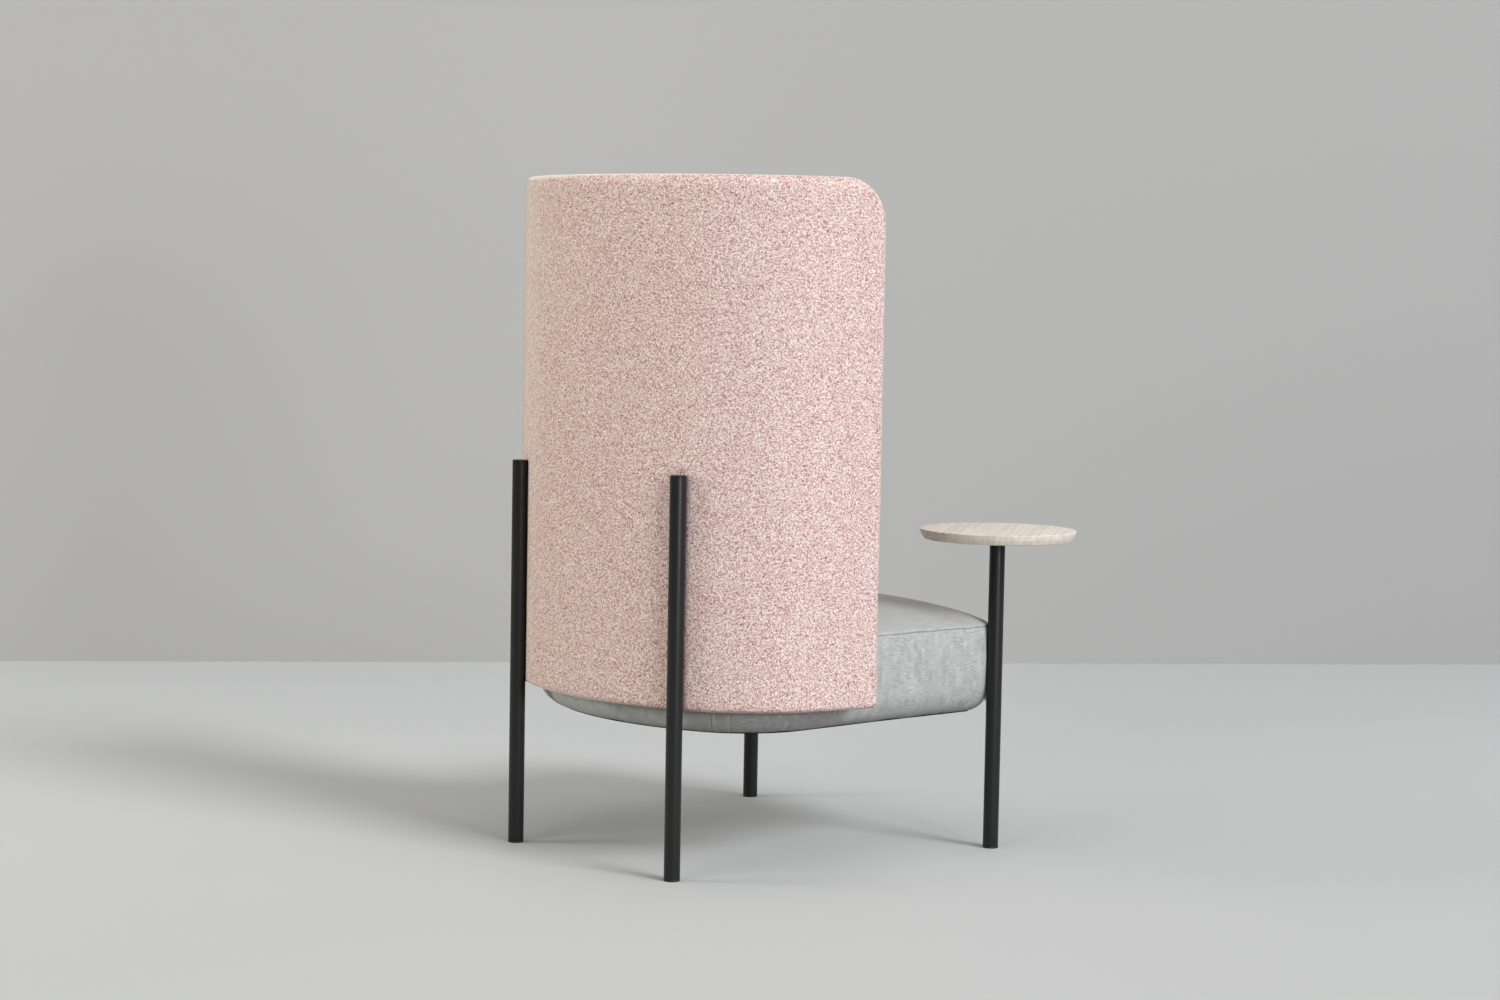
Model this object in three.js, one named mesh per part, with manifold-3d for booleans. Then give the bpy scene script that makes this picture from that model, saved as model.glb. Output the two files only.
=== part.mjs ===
// Acoustic high back lounge chair: a tall padded plywood shell and a crowned seat on four steel posts,
// one of which carries a small round table. Millimetres, +Z up; the sitter faces -Y, their left is +X.
import * as THREE from "three";
import { mergeVertices } from "three/addons/utils/BufferGeometryUtils.js";
import Module from "manifold-3d";

const wasm = await Module();
wasm.setup();

// Clearances and modelling tolerances
const gap = 0.3;
const curvedSeatGap = 0.9;
const overrun = 40;
const weldDistance = 0.001;

// Posts: upright steel tube
const postDiameter = 28;
const postWall = 2;
const rearPostRise = 403;
const plainPostRise = 26;
const rearPostStation = 222;
const frontPostAngle = THREE.MathUtils.degToRad(21.3);
const capThickness = 2.5;
const capPlugLength = 8;
const capChamfer = 0.8;
const glideHeight = 3.5;
const glidePlugLength = 15;
const glideChamfer = 1;

// Back shell, measured along and square to its outer face
const backHeight = 911;
const backThickness = 36;
const backArcRadius = 555;
const backArcLength = 222;
const backCornerAngle = THREE.MathUtils.degToRad(51.9);
const wingRadius = 890;
const wingLength = 143;
const wingTopRadius = 78;
const backEdgeRadius = 9;
const coreThickness = 12;
const coreInset = 12;
const coreArris = 1.5;
const backCoverThickness = 1.2;
const backPress = 3;

// Seat cushion, and how the shell stands to it; every height follows the seam's
const seatSeamHeight = 404;
const seatSideHeight = 157;
const seatToBackRise = 44;
const seatSideRoom = 5.2;
const seatHalfWidth = 323;
const seatSideLength = 417;
const seatCornerRadius = 45;
const seatFrontRadius = 650;
const seatRollRadius = 35;
const seatCrownRise = 38;
const seatShoulderRise = 2;
const seatSeamInset = 2.5;
const seamChannelDepth = 2.2;
const seamChannelHeight = 5;
const seatDrawIn = 3;
const seatPress = 2;
const seatCoverThickness = 1.5;
const seatHem = 12;
const sharpestCorner = 2;
const dustClothThickness = 0.8;
const dustClothLap = 3;

// Seat frame and webbing
const frameInset = 40;
const railThickness = 22;
const railHeight = 78;
const cornerBlockDepth = 38;
const rearBlockWidth = 30;
const rearBlockLength = 90;
const webbingCount = 5;
const webbingWidth = 60;
const webbingThickness = 2;
const webbingMargin = 3;

// Bolts, bosses and the fixings between seat and back
const boltDiameter = 8;
const boltHeadDiameter = 17;
const boltHeadHeight = 4.4;
const boltSocket = 5;
const boltSocketDepth = 2.6;
const bossDiameter = 16;
const rearBossRise = 71;
const rearBossSpacing = 278;
const frontBossRise = 25;
const frontBossSpacing = 34;
const innerFixingStation = 90;
const fixingSideRoom = 73;
const fixingRise = 62;
const sleeveDiameter = 16;
const nutBarrelDiameter = 12;
const nutFlangeDiameter = 21;
const nutFlangeThickness = 1.5;
const nutTipInset = 2;

// Table
const tableRise = 178;
const tableThickness = 18;
const tableDiameter = 284;
const tableUnderDiameter = 267;
const tableArris = 1;
const tableBulge = 1;
const flangeDiameter = 80;
const flangeThickness = 4;
const screwCircle = 56;
const screwCount = 4;
const screwDiameter = 4.5;
const screwHeadDiameter = 8.6;
const screwHeadHeight = 2.7;
const screwLength = 16;
const screwTip = 4;

// How finely the curves are divided
const rearSteps = 4;
const cornerSteps = 7;
const wingSteps = 3;
const coverEdgeSteps = 2;
const innerEdgeSteps = 1;
const quarterSteps = 5;
const fanSteps = 2;
const rollSteps = 3;
const innerRollSteps = 2;
const seatTurnSteps = 7;
const seatCornerSteps = 4;
const seatFrontSteps = 5;
const seatSideSteps = 3;
const roundSides = 20;
const grooveSides = 16;
const boltSides = 10;
const tableSides = 40;

// Shares: how the seat's crown climbs from its edge to the middle
const crownShares = [0.03, 0.1, 0.24, 0.52];
const crownFlatShare = 0.6;
const crownPower = 2.7;

// Values worked out from the sizes above
const postRadius = postDiameter / 2;
const boreRadius = postRadius - postWall;
const coreOuterDepth = (backThickness - coreThickness) / 2;
const coreInnerDepth = coreOuterDepth + coreThickness;
const seatBottom = seatSeamHeight - seatSideHeight;
const backBottom = seatBottom + seatToBackRise;
const backTop = backBottom + backHeight;
const rearPostTop = backBottom + rearPostRise;
const plainPostTop = seatSeamHeight + plainPostRise;
const tableTop = seatSeamHeight + tableRise;

// The shell's corners turn on a radius that leaves the seat its room where they end
const turnStart = backArcLength / backArcRadius;
const turnEnd = turnStart + backCornerAngle;
const backCornerRadius =
  (seatHalfWidth + seatSideRoom + backThickness * Math.sin(turnEnd) - backArcRadius * Math.sin(turnStart)) /
  (Math.sin(turnEnd) - Math.sin(turnStart));
const backCornerLength = backCornerRadius * backCornerAngle;
const backReach = backArcLength + backCornerLength + wingLength;
const beyond = backReach * 2;
const seatDepthOnBack = backThickness + gap;
const roundOut = 1 / Math.cos(Math.PI / boltSides);
const foamDepth = backCoverThickness + gap;

const finishes = {
  speckledCloth: { color: 0xd9b3ab, roughness: 0.95, metalness: 0 },
  greyCloth: { color: 0xb6babb, roughness: 0.95, metalness: 0 },
  foam: { color: 0xe8dfb8, roughness: 1, metalness: 0 },
  plywood: { color: 0xc9a675, roughness: 0.7, metalness: 0 },
  timber: { color: 0xd2b183, roughness: 0.75, metalness: 0 },
  webbing: { color: 0x2c2c30, roughness: 0.9, metalness: 0 },
  dustCloth: { color: 0x1f1f21, roughness: 1, metalness: 0 },
  blackSteel: { color: 0x222223, roughness: 0.5, metalness: 0.2 },
  zincSteel: { color: 0xb9bcc0, roughness: 0.35, metalness: 0.9 },
  blackPlastic: { color: 0x1b1b1b, roughness: 0.6, metalness: 0 },
  paleAsh: { color: 0xe2d2bf, roughness: 0.55, metalness: 0 },
};

const chair = new THREE.Group();

// Hangs one named piece on the chair
function addPiece(name, geometry, finish, position, direction) {
  const piece = new THREE.Mesh(geometry, new THREE.MeshStandardMaterial(finishes[finish]));
  piece.name = name;
  if (position) piece.position.copy(position);
  if (direction) piece.quaternion.setFromUnitVectors(new THREE.Vector3(0, 0, 1), direction);
  chair.add(piece);
  return piece;
}

// A closed geometry as a solid for joining and cutting
function solidOf(geometry) {
  const bare = geometry.clone();
  bare.deleteAttribute("normal");
  bare.deleteAttribute("uv");
  const merged = mergeVertices(bare, weldDistance);
  const corners = merged.index.array;
  const kept = [];
  for (let i = 0; i < corners.length; i += 3) {
    const [a, b, c] = [corners[i], corners[i + 1], corners[i + 2]];
    if (a !== b && b !== c && c !== a) kept.push(a, b, c);
  }
  const vertProperties = merged.attributes.position.array;
  return new wasm.Manifold(new wasm.Mesh({ numProp: 3, vertProperties, triVerts: new Uint32Array(kept) }));
}

function geometryOf(solid) {
  const mesh = solid.getMesh();
  const geometry = new THREE.BufferGeometry();
  geometry.setAttribute("position", new THREE.BufferAttribute(mesh.vertProperties, mesh.numProp));
  geometry.setIndex(new THREE.BufferAttribute(mesh.triVerts, 1));
  geometry.computeVertexNormals();
  return geometry;
}

function cutAll(solid, tools) {
  return tools.reduce((rest, tool) => rest.subtract(tool), solid);
}

// Closed rings of equally many points joined into one closed surface. The rings turn anticlockwise
// about the direction in which they follow each other, and each end is closed by a zigzag.
function loft(rings) {
  const count = rings[0].length;
  const positions = rings.flat().flatMap((p) => [p.x, p.y, p.z]);
  const faces = [];
  for (let r = 0; r + 1 < rings.length; r++) {
    for (let k = 0; k < count; k++) {
      const a = r * count + k;
      const b = r * count + ((k + 1) % count);
      faces.push(a, b, b + count, a, b + count, a + count);
    }
  }
  const last = (rings.length - 1) * count;
  for (let k = 0; k + 1 < count / 2; k++) {
    const [a, b, c, d] = [k, k + 1, count - 2 - k, count - 1 - k];
    faces.push(a, c, b, a, d, c);
    faces.push(last + a, last + b, last + c, last + a, last + c, last + d);
  }
  const geometry = new THREE.BufferGeometry();
  geometry.setAttribute("position", new THREE.Float32BufferAttribute(positions, 3));
  geometry.setIndex(faces);
  return geometry;
}

function rod(start, end, radius, sides = boltSides) {
  const axis = end.clone().sub(start);
  const geometry = new THREE.CylinderGeometry(radius, radius, axis.length(), sides);
  const up = new THREE.Vector3(0, 1, 0);
  geometry.applyQuaternion(new THREE.Quaternion().setFromUnitVectors(up, axis.clone().normalize()));
  const middle = start.clone().add(end).multiplyScalar(0.5);
  return solidOf(geometry.translate(middle.x, middle.y, middle.z));
}

function boxBetween(low, high) {
  const size = high.clone().sub(low);
  const middle = low.clone().add(high).multiplyScalar(0.5);
  const geometry = new THREE.BoxGeometry(size.x, size.y, size.z);
  return solidOf(geometry.translate(middle.x, middle.y, middle.z));
}

// Everything between two heights
function layer(low, high) {
  return boxBetween(new THREE.Vector3(-beyond, -beyond, low), new THREE.Vector3(beyond, beyond, high));
}

// A round piece turned from its profile of radius and height, on the Z axis
function turned(profile, sides) {
  const points = profile.map(([radius, height]) => new THREE.Vector2(radius, height));
  return new THREE.LatheGeometry(points, sides).rotateX(Math.PI / 2);
}

// The shell's outer face in plan: a wide arc across the back, a tight one round each corner and a
// nearly straight wing. Each arc starts where the one before it ends, in the same direction.
function chainArcs(lengths, radii) {
  const arcs = [];
  let centre = new THREE.Vector2(0, -radii[0]);
  let angle = 0;
  radii.forEach((radius, i) => {
    if (i > 0) {
      const step = radii[i - 1] - radius;
      centre = centre.clone().add(new THREE.Vector2(Math.sin(angle), Math.cos(angle)).multiplyScalar(step));
    }
    arcs.push({ radius, length: lengths[i], angle, centre });
    angle += lengths[i] / radius;
  });
  return arcs;
}

const planArcs = chainArcs(
  [backArcLength, backCornerLength, wingLength],
  [backArcRadius, backCornerRadius, wingRadius],
);

// The arc that a station lies on, and the direction there; a station is a distance along the face
function planAt(station) {
  let rest = Math.abs(station);
  let i = 0;
  while (i + 1 < planArcs.length && rest > planArcs[i].length) {
    rest -= planArcs[i].length;
    i += 1;
  }
  const arc = planArcs[i];
  return { arc, angle: arc.angle + rest / arc.radius, side: Math.sign(station) || 1 };
}

function planNormal(station) {
  const { angle, side } = planAt(station);
  return new THREE.Vector3(side * Math.sin(angle), Math.cos(angle), 0);
}

// The point at a station, a depth inside the outer face, at a height
function backPoint(station, depth, height) {
  const { arc, angle, side } = planAt(station);
  const reach = arc.radius - depth;
  return new THREE.Vector3(
    side * (arc.centre.x + reach * Math.sin(angle)),
    arc.centre.y + reach * Math.cos(angle),
    height,
  );
}

function spread(from, to, steps) {
  return Array.from({ length: steps + 1 }, (_, i) => from + ((to - from) * i) / steps);
}

const quarter = Math.PI / 2;
const cornerStations = spread(backArcLength, backArcLength + backCornerLength, cornerSteps);
const backStations = [
  ...spread(0, backArcLength, rearSteps).slice(0, -1),
  ...cornerStations.slice(0, -1),
  ...spread(backArcLength + backCornerLength, backReach, wingSteps),
];

// Half the outline of a pad in the unrolled plane: a lower and an upper row of points with their
// outward directions, from the middle to the wing's front edge
function padHalf(reach, bottom, top, topRadius, edgeRadius) {
  const straightEnd = reach - topRadius;
  const turn = topRadius - edgeRadius;
  const straight = backStations.filter((s) => s < straightEnd - edgeRadius);
  const angles = spread(0, quarter, quarterSteps);
  const fan = spread(0, quarter, fanSteps).slice(1);
  const foot = bottom + edgeRadius;
  const lower = [
    ...straight.map((s) => ({ s, z: foot, out: [0, -1] })),
    ...angles.map((t) => ({ s: straightEnd + turn * Math.sin(t), z: foot, out: [0, -1] })),
    ...fan.map((t) => ({ s: reach - edgeRadius, z: foot, out: [Math.sin(t), -Math.cos(t)] })),
  ];
  const round = angles.map((t) => ({
    s: straightEnd + turn * Math.sin(t),
    z: top - topRadius + turn * Math.cos(t),
    out: [Math.sin(t), Math.cos(t)],
  }));
  const upper = [
    ...straight.map((s) => ({ s, z: top - edgeRadius, out: [0, 1] })),
    ...round,
    ...fan.map(() => round.at(-1)),
  ];
  return { lower, upper };
}

// A pad bent round the back between two depths, its outline drawn in from the shell's by an inset
// and its edge rounded, or only chamfered where the round has one step
function backPad({ shallow, deep, inset, edgeRadius, bottomInset = inset, steps = 1 }) {
  const half = padHalf(
    backReach - inset,
    backBottom + bottomInset,
    backTop - inset,
    wingTopRadius - inset,
    edgeRadius,
  );
  const mirrored = (row) => row.slice(1).map(({ s, z, out }) => ({ s: -s, z, out: [-out[0], out[1]] }));
  const outline = [
    ...mirrored(half.lower).reverse(),
    ...half.lower,
    ...half.upper.slice().reverse(),
    ...mirrored(half.upper),
  ];
  const outerRound = spread(-quarter, 0, steps).map((t) => [
    edgeRadius * Math.cos(t),
    shallow + edgeRadius * (1 + Math.sin(t)),
  ]);
  const innerRound = spread(0, quarter, steps).map((t) => [
    edgeRadius * Math.cos(t),
    deep - edgeRadius * (1 - Math.sin(t)),
  ]);
  const ring = ([out, depth]) =>
    outline.map((p) => backPoint(p.s + out * p.out[0], depth, p.z + out * p.out[1]));
  return solidOf(loft([...outerRound, ...innerRound].map(ring)));
}

// A plain bent slab, for cutting, that runs past the shell's outline
function backSlab(shallow, deep, inset = -overrun) {
  return backPad({ shallow, deep, inset, edgeRadius: coreArris, bottomInset: -overrun });
}

// The seat's outline in plan, drawn in by an inset: it follows the shell's inner face across the back,
// turns off it round the rear corners, runs straight along the sides and bows forward at the front
const seatRearRadius = backArcRadius - seatDepthOnBack;
const seatRearCornerRadius =
  (seatHalfWidth - seatRearRadius * Math.sin(turnStart)) / (1 - Math.sin(turnStart));
const seatRearCornerX = seatHalfWidth - seatRearCornerRadius;
const seatSideRearY =
  planArcs[0].centre.y + (seatRearRadius - seatRearCornerRadius) * Math.cos(turnStart);
const seatCornerX = seatHalfWidth - seatCornerRadius;
const seatCornerY = seatSideRearY - seatSideLength;
const frontCentreY =
  seatCornerY + Math.sqrt((seatFrontRadius - seatCornerRadius) ** 2 - seatCornerX ** 2);

function seatHalf(inset, drawIn) {
  const sideX = seatHalfWidth - inset;
  const cornerRadius = Math.max(seatCornerRadius - inset, sharpestCorner);
  const cornerX = sideX - cornerRadius;
  const frontRadius = seatFrontRadius - inset;
  const cornerY = frontCentreY - Math.sqrt((frontRadius - cornerRadius) ** 2 - cornerX ** 2);
  const frontAngle = Math.asin(cornerX / (frontRadius - cornerRadius));
  const pull = (share) => drawIn * Math.sin(Math.PI * share) ** 2;
  const onArc = (x, y, radius) => (t) =>
    new THREE.Vector2(x + radius * Math.sin(t), y + radius * Math.cos(t));
  const rear = backStations
    .filter((s) => s <= backArcLength)
    .map((s) => backPoint(s, seatDepthOnBack + inset, 0))
    .map((p) => new THREE.Vector2(p.x, p.y));
  const turn = spread(turnStart, quarter, seatTurnSteps).slice(1);
  const side = spread(0, 1, seatSideSteps).slice(1, -1);
  const corner = spread(quarter, Math.PI - frontAngle, seatCornerSteps);
  const front = spread(0, 1, seatFrontSteps).slice(1);
  return [
    ...rear,
    ...turn.map(onArc(seatRearCornerX, seatSideRearY, seatRearCornerRadius - inset)),
    ...side.map((t) => new THREE.Vector2(sideX - pull(t), THREE.MathUtils.lerp(seatSideRearY, cornerY, t))),
    ...corner.map(onArc(cornerX, cornerY, cornerRadius)),
    ...front.map((t) =>
      onArc(0, frontCentreY, frontRadius - pull(t / 2 + 0.5) / 2)(Math.PI - frontAngle * (1 - t)),
    ),
  ];
}

// A whole ring of the outline at a height, anticlockwise from above, shrunk towards the middle by a share
function seatRing(inset, height, share = 0, drawIn = 0) {
  const half = seatHalf(inset, drawIn);
  const middleY = (half[0].y + half.at(-1).y) / 2;
  const ring = [...half.map((p) => new THREE.Vector2(-p.x, p.y)), ...half.slice(1, -1).reverse()];
  return ring.map(
    (p) => new THREE.Vector3(p.x * (1 - share), THREE.MathUtils.lerp(p.y, middleY, share), height),
  );
}

function seatPrism(inset, low, high) {
  return solidOf(loft([seatRing(inset, low), seatRing(inset, high)]));
}

// The whole cushion, a skin's thickness inside its outer surface: a rolled lower edge, sides that
// draw in to the sewn seam's channel, and a crowned top. The inner surfaces have fewer rows.
function cushion(skin) {
  const outermost = skin === 0;
  const roll = seatRollRadius - skin;
  const rows = spread(0, quarter, outermost ? rollSteps : innerRollSteps).map((t) => [
    skin + roll * (1 - Math.sin(t)),
    seatBottom + skin + roll * (1 - Math.cos(t)),
  ]);
  const seam = seatSeamHeight - skin;
  const lipInset = skin + seatSeamInset;
  if (outermost) rows.push([lipInset, seam - seamChannelHeight / 2]);
  rows.push([lipInset + seamChannelDepth, seam]);
  if (outermost) rows.push([lipInset, seam + seamChannelHeight / 2]);
  const rings = rows.map(([inset, height]) => seatRing(inset, height, 0, seatDrawIn));
  crownShares.filter((_, i) => outermost || i % 2 === 1).forEach((share) => {
    const climb = 1 - (1 - Math.min(share / crownFlatShare, 1)) ** crownPower;
    const height = seam + seamChannelHeight / 2 + seatShoulderRise + seatCrownRise * climb;
    rings.push(seatRing(skin + seatSeamInset, height, share, seatDrawIn));
  });
  return solidOf(loft(rings));
}

// The four posts: where each stands, which way its bosses point and how far they reach
const cornerToPost = seatCornerRadius + postRadius - seatPress;
const rearBossEnd = postRadius - backPress + coreOuterDepth - gap;
const frontBossEnd = postRadius - seatPress + frameInset - gap;
const tubeBottom = glideHeight + gap;
const flangeTop = tableTop - tableThickness - gap;
const flangeBottom = flangeTop - flangeThickness;

function rearPost(name, side) {
  return {
    name,
    foot: backPoint(side * rearPostStation, backPress - postRadius, 0),
    inward: planNormal(side * rearPostStation).negate(),
    top: rearPostTop,
    capped: true,
    bosses: [0, rearBossSpacing].map((step) => backBottom + rearBossRise + step),
    bossEnd: rearBossEnd,
    headAt: postRadius - backPress + coreInnerDepth + curvedSeatGap,
  };
}

function frontPost(name, side, top, capped) {
  const inward = new THREE.Vector3(-side * Math.cos(frontPostAngle), Math.sin(frontPostAngle), 0);
  const corner = new THREE.Vector3(side * seatCornerX, seatCornerY, 0);
  return {
    name,
    foot: corner.addScaledVector(inward, -cornerToPost),
    inward,
    top,
    capped,
    bosses: [0, frontBossSpacing].map((step) => seatBottom + frontBossRise + step),
    bossEnd: frontBossEnd,
    headAt: frontBossEnd + railThickness + cornerBlockDepth + curvedSeatGap,
  };
}

const posts = [
  rearPost("rear_left", 1),
  rearPost("rear_right", -1),
  frontPost("front_left", 1, plainPostTop, true),
  frontPost("front_right", -1, flangeBottom - gap, false),
];

function along(post, distance, height) {
  return post.foot.clone().addScaledVector(post.inward, distance).setZ(height);
}

// A groove for a post that is pressed into soft padding, closed by a round end over the post's top
function postGroove(post, clearance) {
  const radius = postRadius + clearance;
  const [low, high] = [-overrun, post.top].map((z) => post.foot.clone().setZ(z));
  const ball = new THREE.SphereGeometry(radius, grooveSides, grooveSides / 2).rotateX(quarter);
  return rod(low, high, radius, grooveSides).add(solidOf(ball.translate(high.x, high.y, high.z)));
}

const rearPosts = posts.slice(0, 2);
const frontPosts = posts.slice(2);
const rearGrooves = (clearance) => rearPosts.map((post) => postGroove(post, clearance));
const frontGrooves = (clearance) =>
  frontPosts.map(({ foot }) => {
    const [low, high] = [-overrun, tableTop].map((z) => foot.clone().setZ(z));
    return rod(low, high, postRadius + clearance, grooveSides);
  });

function bossHoles(post, radius, from, to) {
  return post.bosses.map((height) => rod(along(post, from, height), along(post, to, height), radius));
}

// The fixings that bolt the seat frame to the shell's core
const fixingHeight = seatBottom + fixingRise;
const outerFixingStation = seatHalfWidth - fixingSideRoom;
const fixings = [innerFixingStation, outerFixingStation].flatMap((station) => [station, -station]);

// How far the seat has turned off the shell's inner face at a station
function seatSlack(station) {
  const bend = Math.max(planAt(station).angle - turnStart, 0);
  return (backCornerRadius - seatDepthOnBack - seatRearCornerRadius) * (1 - Math.cos(bend));
}

function fixingPoint(station, depth) {
  return backPoint(station, depth, fixingHeight);
}

function fixingHoles(radius, shallow, deep) {
  return fixings.map((station) => rod(fixingPoint(station, shallow), fixingPoint(station, deep), radius));
}

const boltHoleRadius = (boltDiameter / 2) * roundOut + gap;
const bossHoleRadius = bossDiameter / 2 + gap;
const sleeveHoleRadius = sleeveDiameter / 2 + gap;
const headPocketRadius = (boltHeadDiameter / 2) * roundOut + gap;
const nutPocketRadius = (nutFlangeDiameter / 2) * roundOut + gap;
const nutHoleRadius = (nutBarrelDiameter / 2) * roundOut + gap;
const screwHoleRadius = (screwDiameter / 2) * roundOut + gap;
const railOuterDepth = seatDepthOnBack + frameInset;
const railInnerDepth = railOuterDepth + railThickness;

function addBackCore() {
  const blank = backPad({
    shallow: coreOuterDepth,
    deep: coreInnerDepth,
    inset: coreInset,
    edgeRadius: coreArris,
    bottomInset: foamDepth,
  });
  const nutHoles = fixingHoles(nutHoleRadius, 0, backThickness);
  const through = postDiameter + backThickness;
  const boltHoles = rearPosts.flatMap((post) => bossHoles(post, boltHoleRadius, 0, through));
  addPiece("back_core", geometryOf(cutAll(blank, [...nutHoles, ...boltHoles])), "plywood");
}

// The foam is one moulding in section, laid up as an outer pad, an inner pad and a band round the
// core's edge
function addBackFoam() {
  const moulding = backPad({
    shallow: foamDepth,
    deep: backThickness - foamDepth,
    inset: foamDepth,
    edgeRadius: backEdgeRadius - foamDepth,
    steps: innerEdgeSteps,
  });
  const whole = cutAll(moulding, rearGrooves(foamDepth + gap));
  const outer = whole.intersect(backSlab(-overrun, coreOuterDepth - gap));
  const inner = whole.intersect(backSlab(coreInnerDepth + gap, backThickness + overrun));
  const middle = whole.intersect(backSlab(coreOuterDepth, coreInnerDepth));
  const [roomShallow, roomDeep] = [coreOuterDepth - coreArris * 2, coreInnerDepth + coreArris * 2];
  const coreRoom = backSlab(roomShallow, roomDeep, coreInset - gap);
  const bosses = rearPosts.flatMap((post) => bossHoles(post, bossHoleRadius, 0, rearBossEnd + gap * 2));
  const heads = rearPosts.flatMap((post) =>
    bossHoles(post, headPocketRadius, rearBossEnd + coreThickness, post.headAt + boltHeadHeight + gap),
  );
  const nuts = fixingHoles(nutPocketRadius, coreOuterDepth - nutFlangeThickness - gap * 2, coreInnerDepth);
  const sleeves = fixingHoles(sleeveHoleRadius, coreInnerDepth - gap, railOuterDepth);
  addPiece("back_outer_foam", geometryOf(cutAll(outer, [...bosses, ...nuts])), "foam");
  addPiece("back_inner_foam", geometryOf(cutAll(inner, [...heads, ...sleeves])), "foam");
  addPiece("back_edge_foam", geometryOf(middle.subtract(coreRoom)), "foam");
}

// The cover is a sock with its lips turned under at the bottom, and a strip closes the slot between them
function addBackCover() {
  const skin = backCoverThickness;
  const lips = backEdgeRadius;
  const sock = (inset, steps) =>
    cutAll(
      backPad({
        shallow: inset,
        deep: backThickness - inset,
        inset,
        edgeRadius: backEdgeRadius - inset,
        steps,
      }),
      rearGrooves(gap + inset),
    );
  const outside = sock(0, coverEdgeSteps);
  const inside = sock(skin, innerEdgeSteps);
  const slot = backSlab(lips, backThickness - lips, lips).intersect(layer(0, backBottom + skin * 2));
  const bosses = rearPosts.flatMap((post) => bossHoles(post, bossHoleRadius, 0, rearBossEnd));
  const sleeves = fixingHoles(sleeveHoleRadius, coreInnerDepth, railOuterDepth);
  const cover = cutAll(outside, [inside, slot, ...bosses, ...sleeves]);
  const strip = backSlab(lips + gap, backThickness - lips - gap, lips + gap).intersect(
    layer(backBottom, backBottom + skin),
  );
  addPiece("back_cover", geometryOf(cover), "speckledCloth");
  addPiece("back_base_strip", geometryOf(strip), "speckledCloth");
}

// A tube with a welded, drilled boss for each bolt
function addPostTube(post) {
  const tubeTop = post.capped ? post.top - capThickness - gap : post.top;
  const axisAt = (height) => post.foot.clone().setZ(height);
  const tube = rod(axisAt(tubeBottom), axisAt(tubeTop), postRadius, roundSides);
  const bosses = bossHoles(post, bossDiameter / 2, 0, post.bossEnd);
  const welded = bosses.reduce((all, boss) => all.add(boss), tube);
  const bore = rod(axisAt(0), axisAt(tableTop + rearPostTop), boreRadius, roundSides);
  const drilled = cutAll(welded, [bore, ...bossHoles(post, boltHoleRadius, 0, post.bossEnd + gap)]);
  addPiece(post.name + "_post", geometryOf(drilled), "blackSteel");
}

const plugRadius = boreRadius - gap;

function addGlideAndCap(post) {
  const glide = turned(
    [
      [0, 0],
      [postRadius - glideChamfer, 0],
      [postRadius, glideChamfer],
      [postRadius, glideHeight],
      [plugRadius, glideHeight],
      [plugRadius, glideHeight + glidePlugLength],
      [0, glideHeight + glidePlugLength],
    ],
    roundSides,
  );
  addPiece(post.name + "_glide", glide, "blackPlastic", post.foot);
  if (!post.capped) return;
  const cap = turned(
    [
      [0, -capThickness - capPlugLength],
      [plugRadius, -capThickness - capPlugLength],
      [plugRadius, -capThickness],
      [postRadius, -capThickness],
      [postRadius, -capChamfer],
      [postRadius - capChamfer, 0],
      [0, 0],
    ],
    roundSides,
  );
  addPiece(post.name + "_cap", cap, "blackSteel", post.foot.clone().setZ(post.top));
}

// A flanged button head bolt with a hexagon socket, its shank along -Z
function boltGeometry(length) {
  const rim = boltHeadHeight / 4;
  const body = turned(
    [
      [0, -length],
      [boltDiameter / 2, -length],
      [boltDiameter / 2, 0],
      [boltHeadDiameter / 2, 0],
      [boltHeadDiameter / 2, rim],
      [boltHeadDiameter / 3, boltHeadHeight - rim],
      [boltSocket, boltHeadHeight],
      [0, boltHeadHeight],
    ],
    boltSides,
  );
  const socketBottom = new THREE.Vector3(0, 0, boltHeadHeight - boltSocketDepth);
  const socketTop = new THREE.Vector3(0, 0, boltHeadHeight + boltSocketDepth);
  return geometryOf(solidOf(body).subtract(rod(socketBottom, socketTop, boltSocket / Math.sqrt(3), 6)));
}

function addPostBolts(post) {
  const names = ["lower", "upper"];
  post.bosses.forEach((height, i) => {
    const bolt = boltGeometry(post.headAt - postRadius);
    const place = along(post, post.headAt, height);
    addPiece(`${post.name}_${names[i]}_bolt`, bolt, "zincSteel", place, post.inward);
  });
}

// Seat frame: a curved rear rail, two side rails that turn the front corners, and a bowed front rail
const railBottom = seatBottom + seatCoverThickness + gap;
const railTop = railBottom + railHeight;
const webbingTop = railTop + gap + webbingThickness;
const railInnerX = seatHalfWidth - frameInset - railThickness;
const insideRails = () => seatPrism(frameInset + railThickness + gap, railBottom, railTop);

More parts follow.
